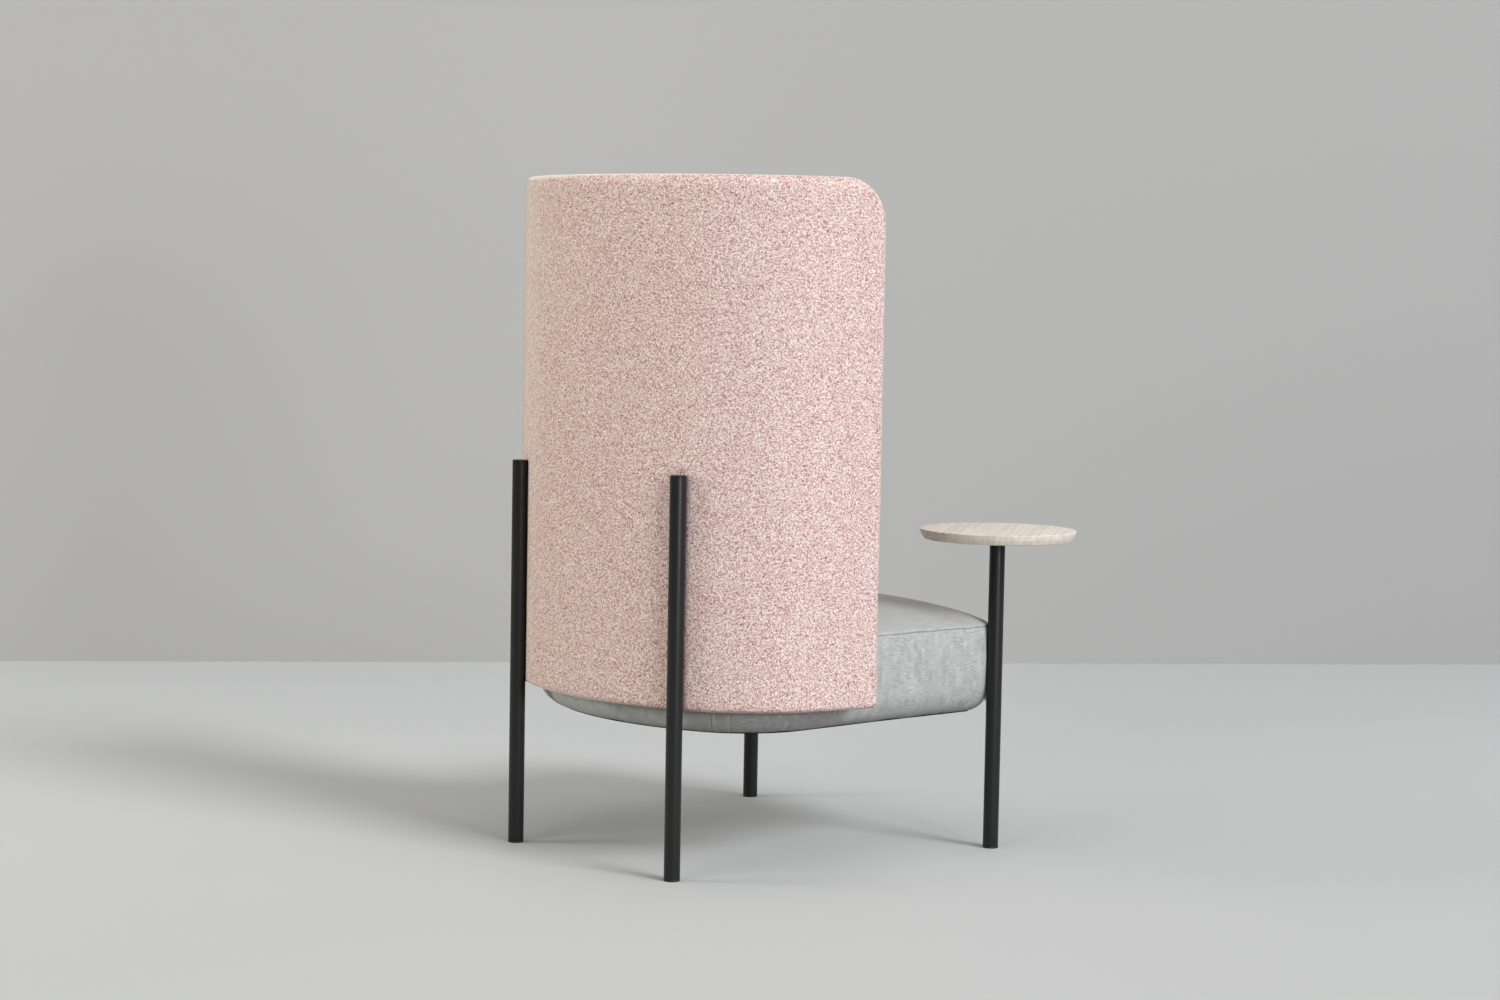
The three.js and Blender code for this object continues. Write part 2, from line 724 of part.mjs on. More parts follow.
function addSeatFrame() {
  const hoop = seatPrism(frameInset, railBottom, railTop).subtract(
    seatPrism(frameInset + railThickness, railBottom - overrun, railTop + overrun),
  );
  const holes = [
    ...fixingHoles(boltHoleRadius, railOuterDepth - overrun, railInnerDepth + overrun),
    ...frontPosts.flatMap((post) => bossHoles(post, boltHoleRadius, 0, post.headAt + overrun)),
  ];
  const part = (low, high) => {
    const field = boxBetween(new THREE.Vector3(...low, 0), new THREE.Vector3(...high, backTop));
    return geometryOf(cutAll(hoop.intersect(field), holes));
  };
  const middleY = seatCornerY + seatSideLength / 2;
  addPiece("seat_rear_rail", part([-beyond, seatSideRearY + gap], [beyond, beyond]), "timber");
  addPiece("seat_left_rail", part([railInnerX, -beyond], [beyond, seatSideRearY]), "timber");
  addPiece("seat_right_rail", part([-beyond, -beyond], [-railInnerX, seatSideRearY]), "timber");
  addPiece("seat_front_rail", part([gap - railInnerX, -beyond], [railInnerX - gap, middleY]), "timber");
}

// Blocks glued into the corners: the front ones carry the bolts of the front posts
function addSeatBlocks() {
  const alongX = new THREE.Vector3(1, 0, 0);
  frontPosts.forEach((post) => {
    const reach = post.headAt - gap;
    const wedge = new THREE.BoxGeometry(reach, beyond, beyond).translate(reach / 2, 0, 0);
    wedge.applyQuaternion(new THREE.Quaternion().setFromUnitVectors(alongX, post.inward));
    const nearPost = solidOf(wedge.translate(post.foot.x, post.foot.y, 0));
    const block = insideRails().intersect(nearPost);
    const holes = bossHoles(post, boltHoleRadius, 0, post.headAt + overrun);
    addPiece(`seat_${post.name}_block`, geometryOf(cutAll(block, holes)), "timber");
  });
  [1, -1].forEach((side) => {
    const [near, far] = [railInnerX - rearBlockWidth, railInnerX].map((x) => x * side);
    const box = boxBetween(
      new THREE.Vector3(Math.min(near, far), seatSideRearY - rearBlockLength / 2, railBottom),
      new THREE.Vector3(Math.max(near, far), seatSideRearY + rearBlockLength / 2, railTop),
    );
    const name = side > 0 ? "seat_rear_left_block" : "seat_rear_right_block";
    addPiece(name, geometryOf(box.intersect(insideRails())), "timber");
  });
}

function addWebbing() {
  const rearmost = backPoint(0, railInnerDepth, 0).y - webbingWidth;
  const foremost = seatCornerY + webbingWidth;
  const field = seatPrism(frameInset + webbingMargin, railTop + gap, webbingTop);
  spread(rearmost, foremost, webbingCount - 1).forEach((y, i) => {
    const strap = boxBetween(
      new THREE.Vector3(-beyond, y - webbingWidth / 2, railTop),
      new THREE.Vector3(beyond, y + webbingWidth / 2, webbingTop + overrun),
    );
    addPiece(`seat_webbing_${i + 1}`, geometryOf(field.intersect(strap)), "webbing");
  });
}

function addSeatCushion() {
  const skin = seatCoverThickness;
  const bosses = frontPosts.flatMap((post) => bossHoles(post, bossHoleRadius, 0, post.headAt));
  const sleeves = fixingHoles(sleeveHoleRadius, backThickness - gap, railInnerDepth);
  const mouth = seatPrism(seatRollRadius + seatHem, seatBottom - overrun, seatBottom + skin * 2);
  const outside = cutAll(cushion(0), frontGrooves(gap));
  const inside = cutAll(cushion(skin), frontGrooves(gap + skin));
  addPiece("seat_cover", geometryOf(cutAll(outside, [inside, mouth, ...bosses, ...sleeves])), "greyCloth");
  const frameRoom = seatPrism(frameInset - gap, seatBottom - overrun, webbingTop + gap);
  const rooms = [...frontGrooves(gap * 2 + skin), frameRoom, ...bosses, ...sleeves];
  addPiece("seat_foam", geometryOf(cutAll(cushion(skin + gap), rooms)), "foam");
  const clothTop = seatBottom - gap;
  const cloth = seatPrism(seatRollRadius + dustClothLap, clothTop - dustClothThickness, clothTop);
  addPiece("seat_dust_cloth", geometryOf(cloth), "dustCloth");
}

// A spacer sleeve, a bolt and a flanged nut at each fixing, all on the line square to the shell
function addBackFixings() {
  fixings.forEach((station, i) => {
    const inward = planNormal(station).negate();
    const sleeve = rod(
      fixingPoint(station, coreInnerDepth + curvedSeatGap),
      fixingPoint(station, railOuterDepth + seatSlack(station) - gap),
      sleeveDiameter / 2,
    ).subtract(rod(fixingPoint(station, 0), fixingPoint(station, railInnerDepth), boltHoleRadius));
    addPiece(`back_fixing_sleeve_${i + 1}`, geometryOf(sleeve), "zincSteel");
    const headDepth = railInnerDepth + seatSlack(station) + curvedSeatGap;
    const bolt = boltGeometry(headDepth - coreOuterDepth);
    addPiece(`back_fixing_bolt_${i + 1}`, bolt, "zincSteel", fixingPoint(station, headDepth), inward);
    const nut = turned(
      [
        [boltHoleRadius, -nutFlangeThickness],
        [nutFlangeDiameter / 2, -nutFlangeThickness],
        [nutFlangeDiameter / 2, 0],
        [nutBarrelDiameter / 2, 0],
        [nutBarrelDiameter / 2, coreThickness - nutTipInset],
        [boltHoleRadius, coreThickness - nutTipInset],
        [boltHoleRadius, -nutFlangeThickness],
      ],
      boltSides,
    );
    const nutPlace = fixingPoint(station, coreOuterDepth - gap);
    addPiece(`back_fixing_nut_${i + 1}`, nut, "zincSteel", nutPlace, inward);
  });
}

// The table: a turned ash disc, undercut at its edge, screwed to a flange plugged into the tall post
function screwPlaces(foot) {
  const ways = spread(0, Math.PI * 2, screwCount).slice(1);
  return ways.map((t) =>
    new THREE.Vector3(Math.cos(t), Math.sin(t), 0).multiplyScalar(screwCircle / 2).add(foot),
  );
}

function screwHoles(places, low, high) {
  return places.map((p) => rod(p.clone().setZ(low), p.clone().setZ(high), screwHoleRadius));
}

function addTable() {
  const foot = posts.at(-1).foot;
  const places = screwPlaces(foot);
  const underside = tableTop - tableThickness;
  const pilots = screwHoles(places, underside - gap * 2, flangeBottom + screwLength + gap);
  const [rim, under] = [tableDiameter / 2, tableUnderDiameter / 2];
  const disc = turned(
    [
      [0, underside],
      [under - tableArris, underside],
      [under, underside + tableArris],
      [(rim + under) / 2 + tableBulge, (tableTop + underside) / 2],
      [rim, tableTop - tableArris],
      [rim - tableArris, tableTop],
      [0, tableTop],
    ],
    tableSides,
  ).translate(foot.x, foot.y, 0);
  addPiece("table_top", geometryOf(cutAll(solidOf(disc), pilots)), "paleAsh");
  const flange = turned(
    [
      [0, flangeBottom - capPlugLength],
      [plugRadius, flangeBottom - capPlugLength],
      [plugRadius, flangeBottom],
      [flangeDiameter / 2, flangeBottom],
      [flangeDiameter / 2, flangeTop],
      [0, flangeTop],
    ],
    roundSides,
  ).translate(foot.x, foot.y, 0);
  const through = screwHoles(places, flangeBottom - overrun, flangeTop + overrun);
  const sinks = places.map((p) => countersink(p.clone().setZ(flangeBottom)));
  addPiece("table_flange", geometryOf(cutAll(solidOf(flange), [...through, ...sinks])), "blackSteel");
  addTableScrews(places);
}

function countersink(mouth) {
  const cone = new THREE.CylinderGeometry(
    screwHoleRadius,
    (screwHeadDiameter / 2) * roundOut + gap,
    screwHeadHeight,
    boltSides,
  ).rotateX(quarter);
  return solidOf(cone.translate(mouth.x, mouth.y, mouth.z + screwHeadHeight / 2));
}

function addTableScrews(places) {
  const screw = () =>
    turned(
      [
        [0, 0],
        [screwHeadDiameter / 2, 0],
        [screwDiameter / 2, screwHeadHeight],
        [screwDiameter / 2, screwLength - screwTip],
        [0, screwLength],
      ],
      boltSides,
    );
  places.forEach((p, i) => {
    addPiece(`table_screw_${i + 1}`, screw(), "zincSteel", p.clone().setZ(flangeBottom));
  });
}

addBackCore();
addBackFoam();
addBackCover();
posts.forEach((post) => {
  addPostTube(post);
  addGlideAndCap(post);
  addPostBolts(post);
});
addSeatFrame();
addSeatBlocks();
addWebbing();
addSeatCushion();
addBackFixings();
addTable();

// The origin is on the floor, under the middle of the whole chair
const bounds = new THREE.Box3().setFromObject(chair, true);
const middle = bounds.getCenter(new THREE.Vector3());
chair.position.set(-middle.x, -middle.y, -bounds.min.z);

const part = new THREE.Group();
part.add(chair);

export default part;
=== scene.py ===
"""Acoustic high back lounge chair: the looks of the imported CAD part, in metres and in its frame."""

import math

import bpy
import numpy as np
from mathutils import Matrix, Vector
from mathutils.kdtree import KDTree


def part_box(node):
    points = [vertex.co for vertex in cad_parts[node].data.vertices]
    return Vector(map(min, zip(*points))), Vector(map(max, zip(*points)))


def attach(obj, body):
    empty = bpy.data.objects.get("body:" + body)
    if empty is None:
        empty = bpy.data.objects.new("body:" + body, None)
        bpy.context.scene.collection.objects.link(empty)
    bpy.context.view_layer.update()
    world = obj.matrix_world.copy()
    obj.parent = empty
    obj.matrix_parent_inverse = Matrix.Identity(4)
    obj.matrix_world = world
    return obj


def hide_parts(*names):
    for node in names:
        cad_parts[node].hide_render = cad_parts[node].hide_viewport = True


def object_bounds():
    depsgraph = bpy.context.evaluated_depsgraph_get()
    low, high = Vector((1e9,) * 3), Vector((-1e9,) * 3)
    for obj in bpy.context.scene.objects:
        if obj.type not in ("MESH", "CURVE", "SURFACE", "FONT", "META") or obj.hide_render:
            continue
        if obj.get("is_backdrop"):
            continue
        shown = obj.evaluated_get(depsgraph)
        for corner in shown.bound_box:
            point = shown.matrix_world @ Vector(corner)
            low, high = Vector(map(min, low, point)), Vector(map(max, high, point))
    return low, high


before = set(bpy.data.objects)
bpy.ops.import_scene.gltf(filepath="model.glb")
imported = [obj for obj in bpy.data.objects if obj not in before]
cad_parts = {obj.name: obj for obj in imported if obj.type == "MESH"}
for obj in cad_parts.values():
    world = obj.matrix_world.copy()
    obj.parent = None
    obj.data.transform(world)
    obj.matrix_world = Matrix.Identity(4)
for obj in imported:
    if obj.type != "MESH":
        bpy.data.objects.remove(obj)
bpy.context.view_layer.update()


# Shell core. A moulded plywood shell is the hidden skeleton of the back: thin veneers pressed round
# the chair's plan, drilled for the posts' bolts and for the four fixings that carry the seat frame.
def shade(red, green, blue):
    """A colour written as it looks, from 0 to 255, in the light that the shaders work in."""
    parts = [c / 255 for c in (red, green, blue)]
    return tuple(c / 12.92 if c <= 0.04045 else ((c + 0.055) / 1.055) ** 2.4 for c in parts) + (1.0,)


def put_in(tree, kind, inputs=None, **settings):
    """One node of a tree; an input given as a socket is linked, and any other is set."""
    made = tree.nodes.new(kind)
    for name, value in settings.items():
        setattr(made, name, value)
    for name, value in (inputs or {}).items():
        if isinstance(value, bpy.types.NodeSocket):
            tree.links.new(value, made.inputs[name])
        else:
            made.inputs[name].default_value = value
    return made


def node(material, kind, inputs=None, **settings):
    return put_in(material.node_tree, "ShaderNode" + kind, inputs, **settings)


def sum_of(material, operation, first, second):
    return node(material, "Math", {0: first, 1: second}, operation=operation).outputs[0]


def noise(material, place, scale, detail, output="Fac"):
    inputs = {"Vector": place, "Scale": scale, "Detail": detail}
    return node(material, "TexNoise", inputs).outputs[output]


def colours(*stops):
    """The stops of a ramp, from a place and a colour from 0 to 255 for each."""
    return [(place, shade(*colour)) for place, *colour in stops]


def ramp(material, factor, stops, mode="LINEAR"):
    """A colour ramp through (place, colour) stops."""
    made = node(material, "ValToRGB", {"Fac": factor})
    made.color_ramp.interpolation = mode
    points = made.color_ramp.elements
    while len(points) < len(stops):
        points.new(0.5)
    for point, (place, colour) in zip(points, stops):
        point.position = place
        point.color = colour
    return made.outputs["Color"]


def blend_of(material, factor, first, second, mode="MIX"):
    """Two colours mixed; the node takes colours at its inputs 6 and 7."""
    inputs = {0: factor, 6: first, 7: second}
    return node(material, "Mix", inputs, data_type="RGBA", blend_type=mode).outputs[2]


def relief(material, height, distance, strength=1.0):
    inputs = {"Height": height, "Distance": distance, "Strength": strength}
    return node(material, "Bump", inputs).outputs["Normal"]


def new_material(name, looks):
    """A material whose shader has some inputs set."""
    material = bpy.data.materials.new(name)
    material.use_nodes = True
    for entry, value in looks.items():
        material.node_tree.nodes["Principled BSDF"].inputs[entry].default_value = value
    return material


def give(material, colour=None, roughness=None, normal=None):
    shader = material.node_tree.nodes["Principled BSDF"]
    for name, socket in (("Base Color", colour), ("Roughness", roughness), ("Normal", normal)):
        if socket is not None:
            material.node_tree.links.new(socket, shader.inputs[name])


def mottle(material, pattern, stops, distance, strength=1.0):
    """Colours a material by a pattern, which also raises its skin by a distance."""
    normal = relief(material, pattern, distance, strength)
    give(material, ramp(material, pattern, stops), normal=normal)


def object_place(material, stretch=(1, 1, 1), turn=(0, 0, 0)):
    place = node(material, "TexCoord").outputs["Object"]
    inputs = {"Vector": place, "Scale": stretch, "Rotation": turn}
    return node(material, "Mapping", inputs).outputs["Vector"]


def dress(material, *names):
    """Gives CAD nodes a material in their own slots."""
    for name in names:
        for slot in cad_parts[name].material_slots:
            slot.material = material


plywood = new_material("birch_plywood", {"Roughness": 0.62})
veneer_grain = noise(plywood, object_place(plywood, (160, 160, 5)), 1, 4)
mottle(plywood, veneer_grain, colours((0.3, 176, 138, 96), (0.7, 214, 180, 136)), 0.0002)
dress(plywood, "back_core")

zinc = new_material("zinc_plated_steel", {"Roughness": 0.34, "Metallic": 1.0})
spangle = noise(zinc, object_place(zinc), 900, 2)
mottle(zinc, spangle, colours((0.35, 150, 153, 158), (0.65, 196, 199, 203)), 0.00004)
fastener_kinds = ("bolt", "sleeve", "nut", "screw")
dress(zinc, *[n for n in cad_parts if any(kind in n for kind in fastener_kinds)])


# Shell upholstery. Moulded foam on both faces of the plywood wears a close-fitting sock of speckled
# wool cloth, cream flecked with pink; it is pulled down over the core and pressed in by the posts.
shell_low, shell_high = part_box("back_cover")
shell_bottom, shell_top, shell_thickness = shell_low.z, shell_high.z, 0.036
# Half the plan's outer face, from its middle: the radius and the length of each arc
shell_arcs = [(0.555, 0.222), (0.25503, 0.231013), (0.89, 0.143)]
shell_reach = sum(length for _, length in shell_arcs)
wing_top_radius, shell_edge_radius, soft_edge_radius = 0.078, 0.009, 0.0175
post_radius, part_gap, groove_gap = 0.014, 0.0003, 0.0004
post_names = ["rear_left", "rear_right", "front_left", "front_right"]
feet = {n: (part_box(n + "_glide")[0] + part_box(n + "_glide")[1]) / 2 for n in post_names}
rear_feet, front_feet = [feet[n] for n in post_names[:2]], [feet[n] for n in post_names[2:]]
rear_post_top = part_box("rear_left_cap")[1].z
shell_middle = Vector(((rear_feet[0].x + rear_feet[1].x) / 2, shell_high.y, 0))


def shell_point(station, depth, height):
    """Points of the bent shell, from distances along its outer face, depths behind it and heights."""
    given = [np.asarray(a, float) for a in (station, depth, height)]
    station, depth, height = np.broadcast_arrays(*given)
    rest = np.abs(station)
    x, y = np.zeros(rest.shape), np.zeros(rest.shape)
    start, angle, centre_x, centre_y = 0.0, 0.0, 0.0, -shell_arcs[0][0]
    for i, (radius, length) in enumerate(shell_arcs):
        here = rest >= start
        turned = angle + (rest - start) / radius
        x[here] = (centre_x + (radius - depth) * np.sin(turned))[here]
        y[here] = (centre_y + (radius - depth) * np.cos(turned))[here]
        start += length
        angle += length / radius
        if i + 1 < len(shell_arcs):
            step = radius - shell_arcs[i + 1][0]
            centre_x += math.sin(angle) * step
            centre_y += math.cos(angle) * step
    side = np.where(station < 0, -1.0, 1.0)
    return np.stack([shell_middle.x + side * x, shell_middle.y + y, height], -1)


def inner_reach(station):
    """The distance along the inner face that lies behind a station."""
    rest, total, start = np.abs(station), np.zeros(np.shape(station)), 0.0
    for radius, length in shell_arcs:
        total += np.clip(rest - start, 0, length) * (radius - shell_thickness) / radius
        start += length
    return total * np.where(np.asarray(station) < 0, -1.0, 1.0)


def refined(low, high, step, places, fine_step, fine_half):
    """Numbers from low to high, a step apart, and closer together about some places."""
    found = [low]
    while found[-1] < high:
        near = any(abs(found[-1] + fine_step - p) < fine_half for p in places)
        found.append(found[-1] + (fine_step if near else step))
    found = np.array(found)
    return low + (found - low) * (high - low) / (found[-1] - low)


def new_object(name, data):
    made = bpy.data.objects.new(name, data)
    bpy.context.scene.collection.objects.link(made)
    return made


def closed_mesh(name, points, faces, material, cloth_places=None):
    """A smooth mesh object at the origin; cloth places give each face corner its place on the cloth."""
    mesh = bpy.data.meshes.new(name)
    mesh.from_pydata([tuple(p) for p in points], [], [tuple(int(i) for i in f) for f in faces])
    mesh.materials.append(material)
    mesh.polygons.foreach_set("use_smooth", [True] * len(mesh.polygons))
    if cloth_places is not None:
        layer = mesh.uv_layers.new(name="cloth")
        layer.data.foreach_set("uv", np.asarray(cloth_places, np.float32).ravel())
    mesh.validate()
    return new_object(name, mesh)


def clearance(points, axes):
    """How far points lie from the middle of the nearest post."""
    return np.min([np.hypot(points[:, 0] - a.x, points[:, 1] - a.y) for a in axes], 0)


def pressed_by(points, axis, top, radius, softness=0.003):
    """Moves points out of the soft-edged groove of an upright post that ends at a height."""
    nearest = np.stack(
        [np.full(len(points), axis.x), np.full(len(points), axis.y), np.minimum(points[:, 2], top)], -1
    )
    away = points - nearest
    distance = np.linalg.norm(away, axis=1)
    kept = (distance + radius + np.sqrt((distance - radius) ** 2 + softness**2)) / 2
    kept = np.where(distance < radius * 3, kept, distance)
    return nearest + away / np.maximum(distance, 1e-6)[:, None] * kept[:, None]


def wander(points, size, seed):
    """A smooth random value from -1 to 1 at each point, the same in every run."""
    draw = np.random.default_rng(seed)
    total = np.zeros(len(points))
    for _ in range(7):
        direction = draw.normal(size=3)
        direction /= np.linalg.norm(direction) * size / draw.uniform(0.6, 1.6)
        total += np.sin(points @ direction * math.tau + draw.uniform(0, math.tau))
    return total / 4


# Columns and rows of the face, closer together beside the posts and about the posts' tops
wing_start = shell_reach - wing_top_radius
wing_turn = wing_top_radius - shell_edge_radius
column_step, row_step, groove_step, groove_half = 0.009, 0.0098, 0.0017, 0.03
post_station = 0.222
straight_half = refined(0, wing_start, column_step, [post_station], groove_step, groove_half)
turned_half = wing_start + wing_turn * np.sin(np.linspace(0, math.pi / 2, 17)[1:])
half_stations = np.concatenate([straight_half, turned_half])
columns = np.concatenate([-half_stations[:0:-1], half_stations])
face_low, face_high = shell_bottom + shell_edge_radius, shell_top - shell_edge_radius
row_heights = refined(face_low, face_high, row_step, [rear_post_top], groove_step, groove_half)
row_shares = (row_heights - row_heights[0]) / (row_heights[-1] - row_heights[0])
turned = np.arcsin(np.clip((np.abs(columns) - wing_start) / wing_turn, 0, 1))
wing_tops = shell_top - wing_top_radius + wing_turn * np.cos(turned)
column_tops = np.where(np.abs(columns) > wing_start, wing_tops, face_high)
face_stations = np.repeat(columns[:, None], len(row_shares), 1)
face_heights = face_low + (column_tops[:, None] - face_low) * row_shares[None, :]

# The face's border in order, each point with its direction outwards; the lower corners fan out
count_s, count_h = face_stations.shape
fan = np.linspace(0, math.pi / 2, 7)[1:-1]
border = [(i, 0, (0, -1)) for i in range(count_s)]
border += [(count_s - 1, 0, (math.sin(t), -math.cos(t))) for t in fan]
border += [(count_s - 1, j, (1, 0)) for j in range(count_h - 1)]
border += [
    (i, count_h - 1, (math.copysign(math.sin(turned[i]), columns[i]), math.cos(turned[i])))
    for i in range(count_s - 1, -1, -1)
]
border += [(0, j, (-1, 0)) for j in range(count_h - 2, -1, -1)]
border += [(0, 0, (-math.cos(t), -math.sin(t))) for t in fan]
border_index = np.array([i * count_h + j for i, j, _ in border])
border_out = np.array([out for _, _, out in border], float)


def edge_shape(radius):
    """How far out and how deep an edge's points lie, from the outer face's border to the inner one's."""
    first = math.asin((radius - shell_edge_radius) / radius)
    turns = np.linspace(first, math.pi / 2, 6)
    half = [(radius * (math.sin(t) - 1) + shell_edge_radius, radius * (1 - math.cos(t))) for t in turns]
    half += [(shell_edge_radius, d) for d in np.linspace(radius, shell_thickness / 2, 3)[1:]]
    return np.array(half + [(out, shell_thickness - depth) for out, depth in half[-2::-1]])


# The hem is folded tight; the padding rounds the wings' ends a little more, and the top most
flat_s, flat_h = face_stations.ravel(), face_heights.ravel()
softness = np.clip((flat_h[border_index] - shell_bottom - 0.02) / 0.06, 0, 1)
softness = softness**2 * (3 - 2 * softness) * (0.3 + 0.7 * np.clip(border_out[:, 1], 0, 1))
hem_shape, soft_shape = edge_shape(shell_edge_radius), edge_shape(soft_edge_radius)
edge_shapes = [
    hard[:, None] * (1 - softness) + soft[:, None] * softness
    for hard, soft in zip(hem_shape, soft_shape)
]
edge_run = np.cumsum(np.linalg.norm(np.diff(hem_shape, axis=0), axis=1))
face_depth = np.zeros(len(flat_s))
face_depth[border_index] = edge_shapes[0][1]
sheets = [shell_point(flat_s, face_depth, flat_h)]
places = [np.stack([flat_s, flat_h], -1)]
border_places = places[0][border_index]
for (out, depth), run in zip(edge_shapes[1:-1], edge_run):
    station, height = (border_places + border_out * out[:, None]).T
    sheets.append(shell_point(station, depth, height))
    places.append(border_places + border_out * run)
sheets.append(shell_point(flat_s, shell_thickness - face_depth, flat_h))
places.append(np.stack([inner_reach(flat_s) + 2.0, flat_h], -1))
shell_points, shell_places = np.concatenate(sheets), np.concatenate(places)

cells = np.arange(count_s * count_h).reshape(count_s, count_h)
grid = [cells[:-1, :-1], cells[:-1, 1:], cells[1:, 1:], cells[1:, :-1]]
grid_faces = np.stack(grid, -1).reshape(-1, 4)
rings = [border_index]
offset = count_s * count_h
for _ in edge_shapes[1:-1]:
    rings.append(offset + np.arange(len(border)))
    offset += len(border)
rings.append(offset + border_index)
shell_faces = [tuple(f) for f in grid_faces]
shell_faces += [tuple(f[::-1] + offset) for f in grid_faces]
for near_ring, far_ring in zip(rings[:-1], rings[1:]):
    for k in range(len(border)):
        n = (k + 1) % len(border)
        corner = [near_ring[k], near_ring[n], far_ring[n], far_ring[k]]
        shell_faces.append(tuple(dict.fromkeys(corner)))

# The rear posts press their grooves; elsewhere the sock wavers a little, and its hem more
for axis in rear_feet:
    shell_points = pressed_by(shell_points, axis, rear_post_top, post_radius + groove_gap)
shell_waver, hem_waver, hem_height = 0.0007, 0.0006, 0.012
across = shell_points - np.array([shell_middle.x, shell_middle.y - 0.4, 0])
across[:, 2] = 0
across /= np.linalg.norm(across, axis=1, keepdims=True)
clear_of_posts = np.clip(clearance(shell_points, rear_feet) / 0.03 - 0.5, 0, 1)
shell_points += across * (wander(shell_points, 0.19, seed=3) * shell_waver * clear_of_posts)[:, None]
hem = np.exp(-((shell_points[:, 2] - shell_bottom) / hem_height) ** 2)
shell_points[:, 2] += hem * wander(shell_points, 0.05, seed=4) * hem_waver

cloth_looks = {"Roughness": 0.92, "Sheen Weight": 1.0, "Sheen Roughness": 0.32}
speckled = new_material("speckled_wool_cloth", {**cloth_looks, "Sheen Tint": shade(255, 246, 232)})
cloth_place = node(speckled, "UVMap", uv_map="cloth").outputs["UV"]
flecks = node(speckled, "TexVoronoi", {"Vector": cloth_place, "Scale": 760.0, "Randomness": 1.0})
fleck_kind = node(speckled, "SeparateColor", {"Color": flecks.outputs["Color"]}).outputs["Red"]
drift = sum_of(speckled, "SUBTRACT", noise(speckled, cloth_place, 170.0, 2.0), 0.5)
drift = sum_of(speckled, "MULTIPLY", drift, 0.35)
fleck_stops = colours(
    (0.0, 249, 243, 237), (0.2, 242, 223, 216), (0.42, 224, 193, 188),
    (0.62, 202, 156, 154), (0.8, 176, 116, 117), (0.94, 112, 62, 66),
)
fleck_colour = ramp(speckled, sum_of(speckled, "ADD", fleck_kind, drift), fleck_stops, "CONSTANT")
yarn = noise(speckled, cloth_place, 1300.0, 1.0)
yarn_colour = ramp(speckled, yarn, colours((0.3, 226, 226, 226), (0.7, 255, 255, 255)))
cloth_colour = blend_of(speckled, 1.0, fleck_colour, yarn_colour, "MULTIPLY")
# Painted sheen: where the cloth is seen edge-on its colour is paled towards cream, a painted highlight
# on top of the shader's own sheen.
slant = node(speckled, "LayerWeight", {"Blend": 0.5}).outputs["Facing"]
painted_sheen_span = {"Value": slant, "From Min": 0.6, "To Max": 0.55}
painted_grazing_sheen = node(speckled, "MapRange", painted_sheen_span).outputs["Result"]
cloth_colour = blend_of(speckled, painted_grazing_sheen, cloth_colour, shade(246, 236, 226))
nap = sum_of(speckled, "ADD", flecks.outputs["Distance"], yarn)
give(speckled, cloth_colour, normal=relief(speckled, nap, 0.0003, 0.35))

corner_places = np.concatenate([shell_places[list(f)] for f in shell_faces])
shell_cover = closed_mesh("shell_upholstery", shell_points, shell_faces, speckled, corner_places)
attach(shell_cover, "root")
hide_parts("back_cover", "back_outer_foam", "back_inner_foam", "back_edge_foam")


# Base strip. A narrow strip of the same cloth closes the slot under the shell between the sock's two
# turned lips; it is bent round the same plan and sewn down along both its edges.
def ribbon(stations, profile):
    """Points and faces of a closed bar that follows the shell; its profile is (depth, height)."""
    depths, heights = zip(*profile)
    points = np.concatenate([shell_point(s, depths, heights) for s in stations])
    size, faces = len(profile), []
    for r in range(len(stations) - 1):
        for k in range(size):
            n = (k + 1) % size
            faces.append((r * size + k, (r + 1) * size + k, (r + 1) * size + n, r * size + n))
    faces.append(tuple(range(size)))
    faces.append(tuple((len(stations) - 1) * size + k for k in range(size))[::-1])
    return points, faces


strip_low, strip_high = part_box("back_base_strip")[0].z - 0.0006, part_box("back_base_strip")[1].z
strip_shallow = shell_edge_radius + part_gap
strip_deep = shell_thickness - shell_edge_radius - part_gap
strip_profile = [(strip_shallow, strip_high), (strip_shallow, strip_low + 0.0007)]
strip_profile += [
    (strip_shallow + (strip_deep - strip_shallow) * t, strip_low + 0.0003 * (1 - math.sin(math.pi * t)))
    for t in np.linspace(0.06, 0.94, 7)
]
strip_profile += [(strip_deep, strip_low + 0.0007), (strip_deep, strip_high)]
strip_end = shell_reach - shell_edge_radius - part_gap
strip_run = np.linspace(-strip_end, strip_end, 161)
strip_points, strip_faces = ribbon(strip_run, strip_profile)
strip_depths = [depth for depth, _ in strip_profile]
strip_places = np.stack(
    [np.repeat(strip_run, len(strip_profile)) + 5, np.tile(strip_depths, len(strip_run))], -1
)[np.concatenate(strip_faces)]
base_strip = closed_mesh("base_strip", strip_points, strip_faces, speckled, strip_places)
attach(base_strip, "root")
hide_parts("back_base_strip")


# Posts. Four upright steel tubes, powder coated satin black: the rear pair is bolted to the shell,
# the front pair to the seat's corners. Plain discs close three of them and every foot has a glide.
def new_tree(name, inputs, output):
    """A geometry tree, the keys that a modifier knows its inputs by, and a maker of its nodes."""
    tree = bpy.data.node_groups.new(name, "GeometryNodeTree")
    keys = {}
    for label, kind in inputs.items():
        socket = tree.interface.new_socket(label, in_out="INPUT", socket_type="NodeSocket" + kind)
        keys[label] = socket.identifier
    tree.interface.new_socket(output, in_out="OUTPUT", socket_type="NodeSocketGeometry")
    return tree, keys, lambda kind, inputs=None, **settings: put_in(tree, kind, inputs, **settings)


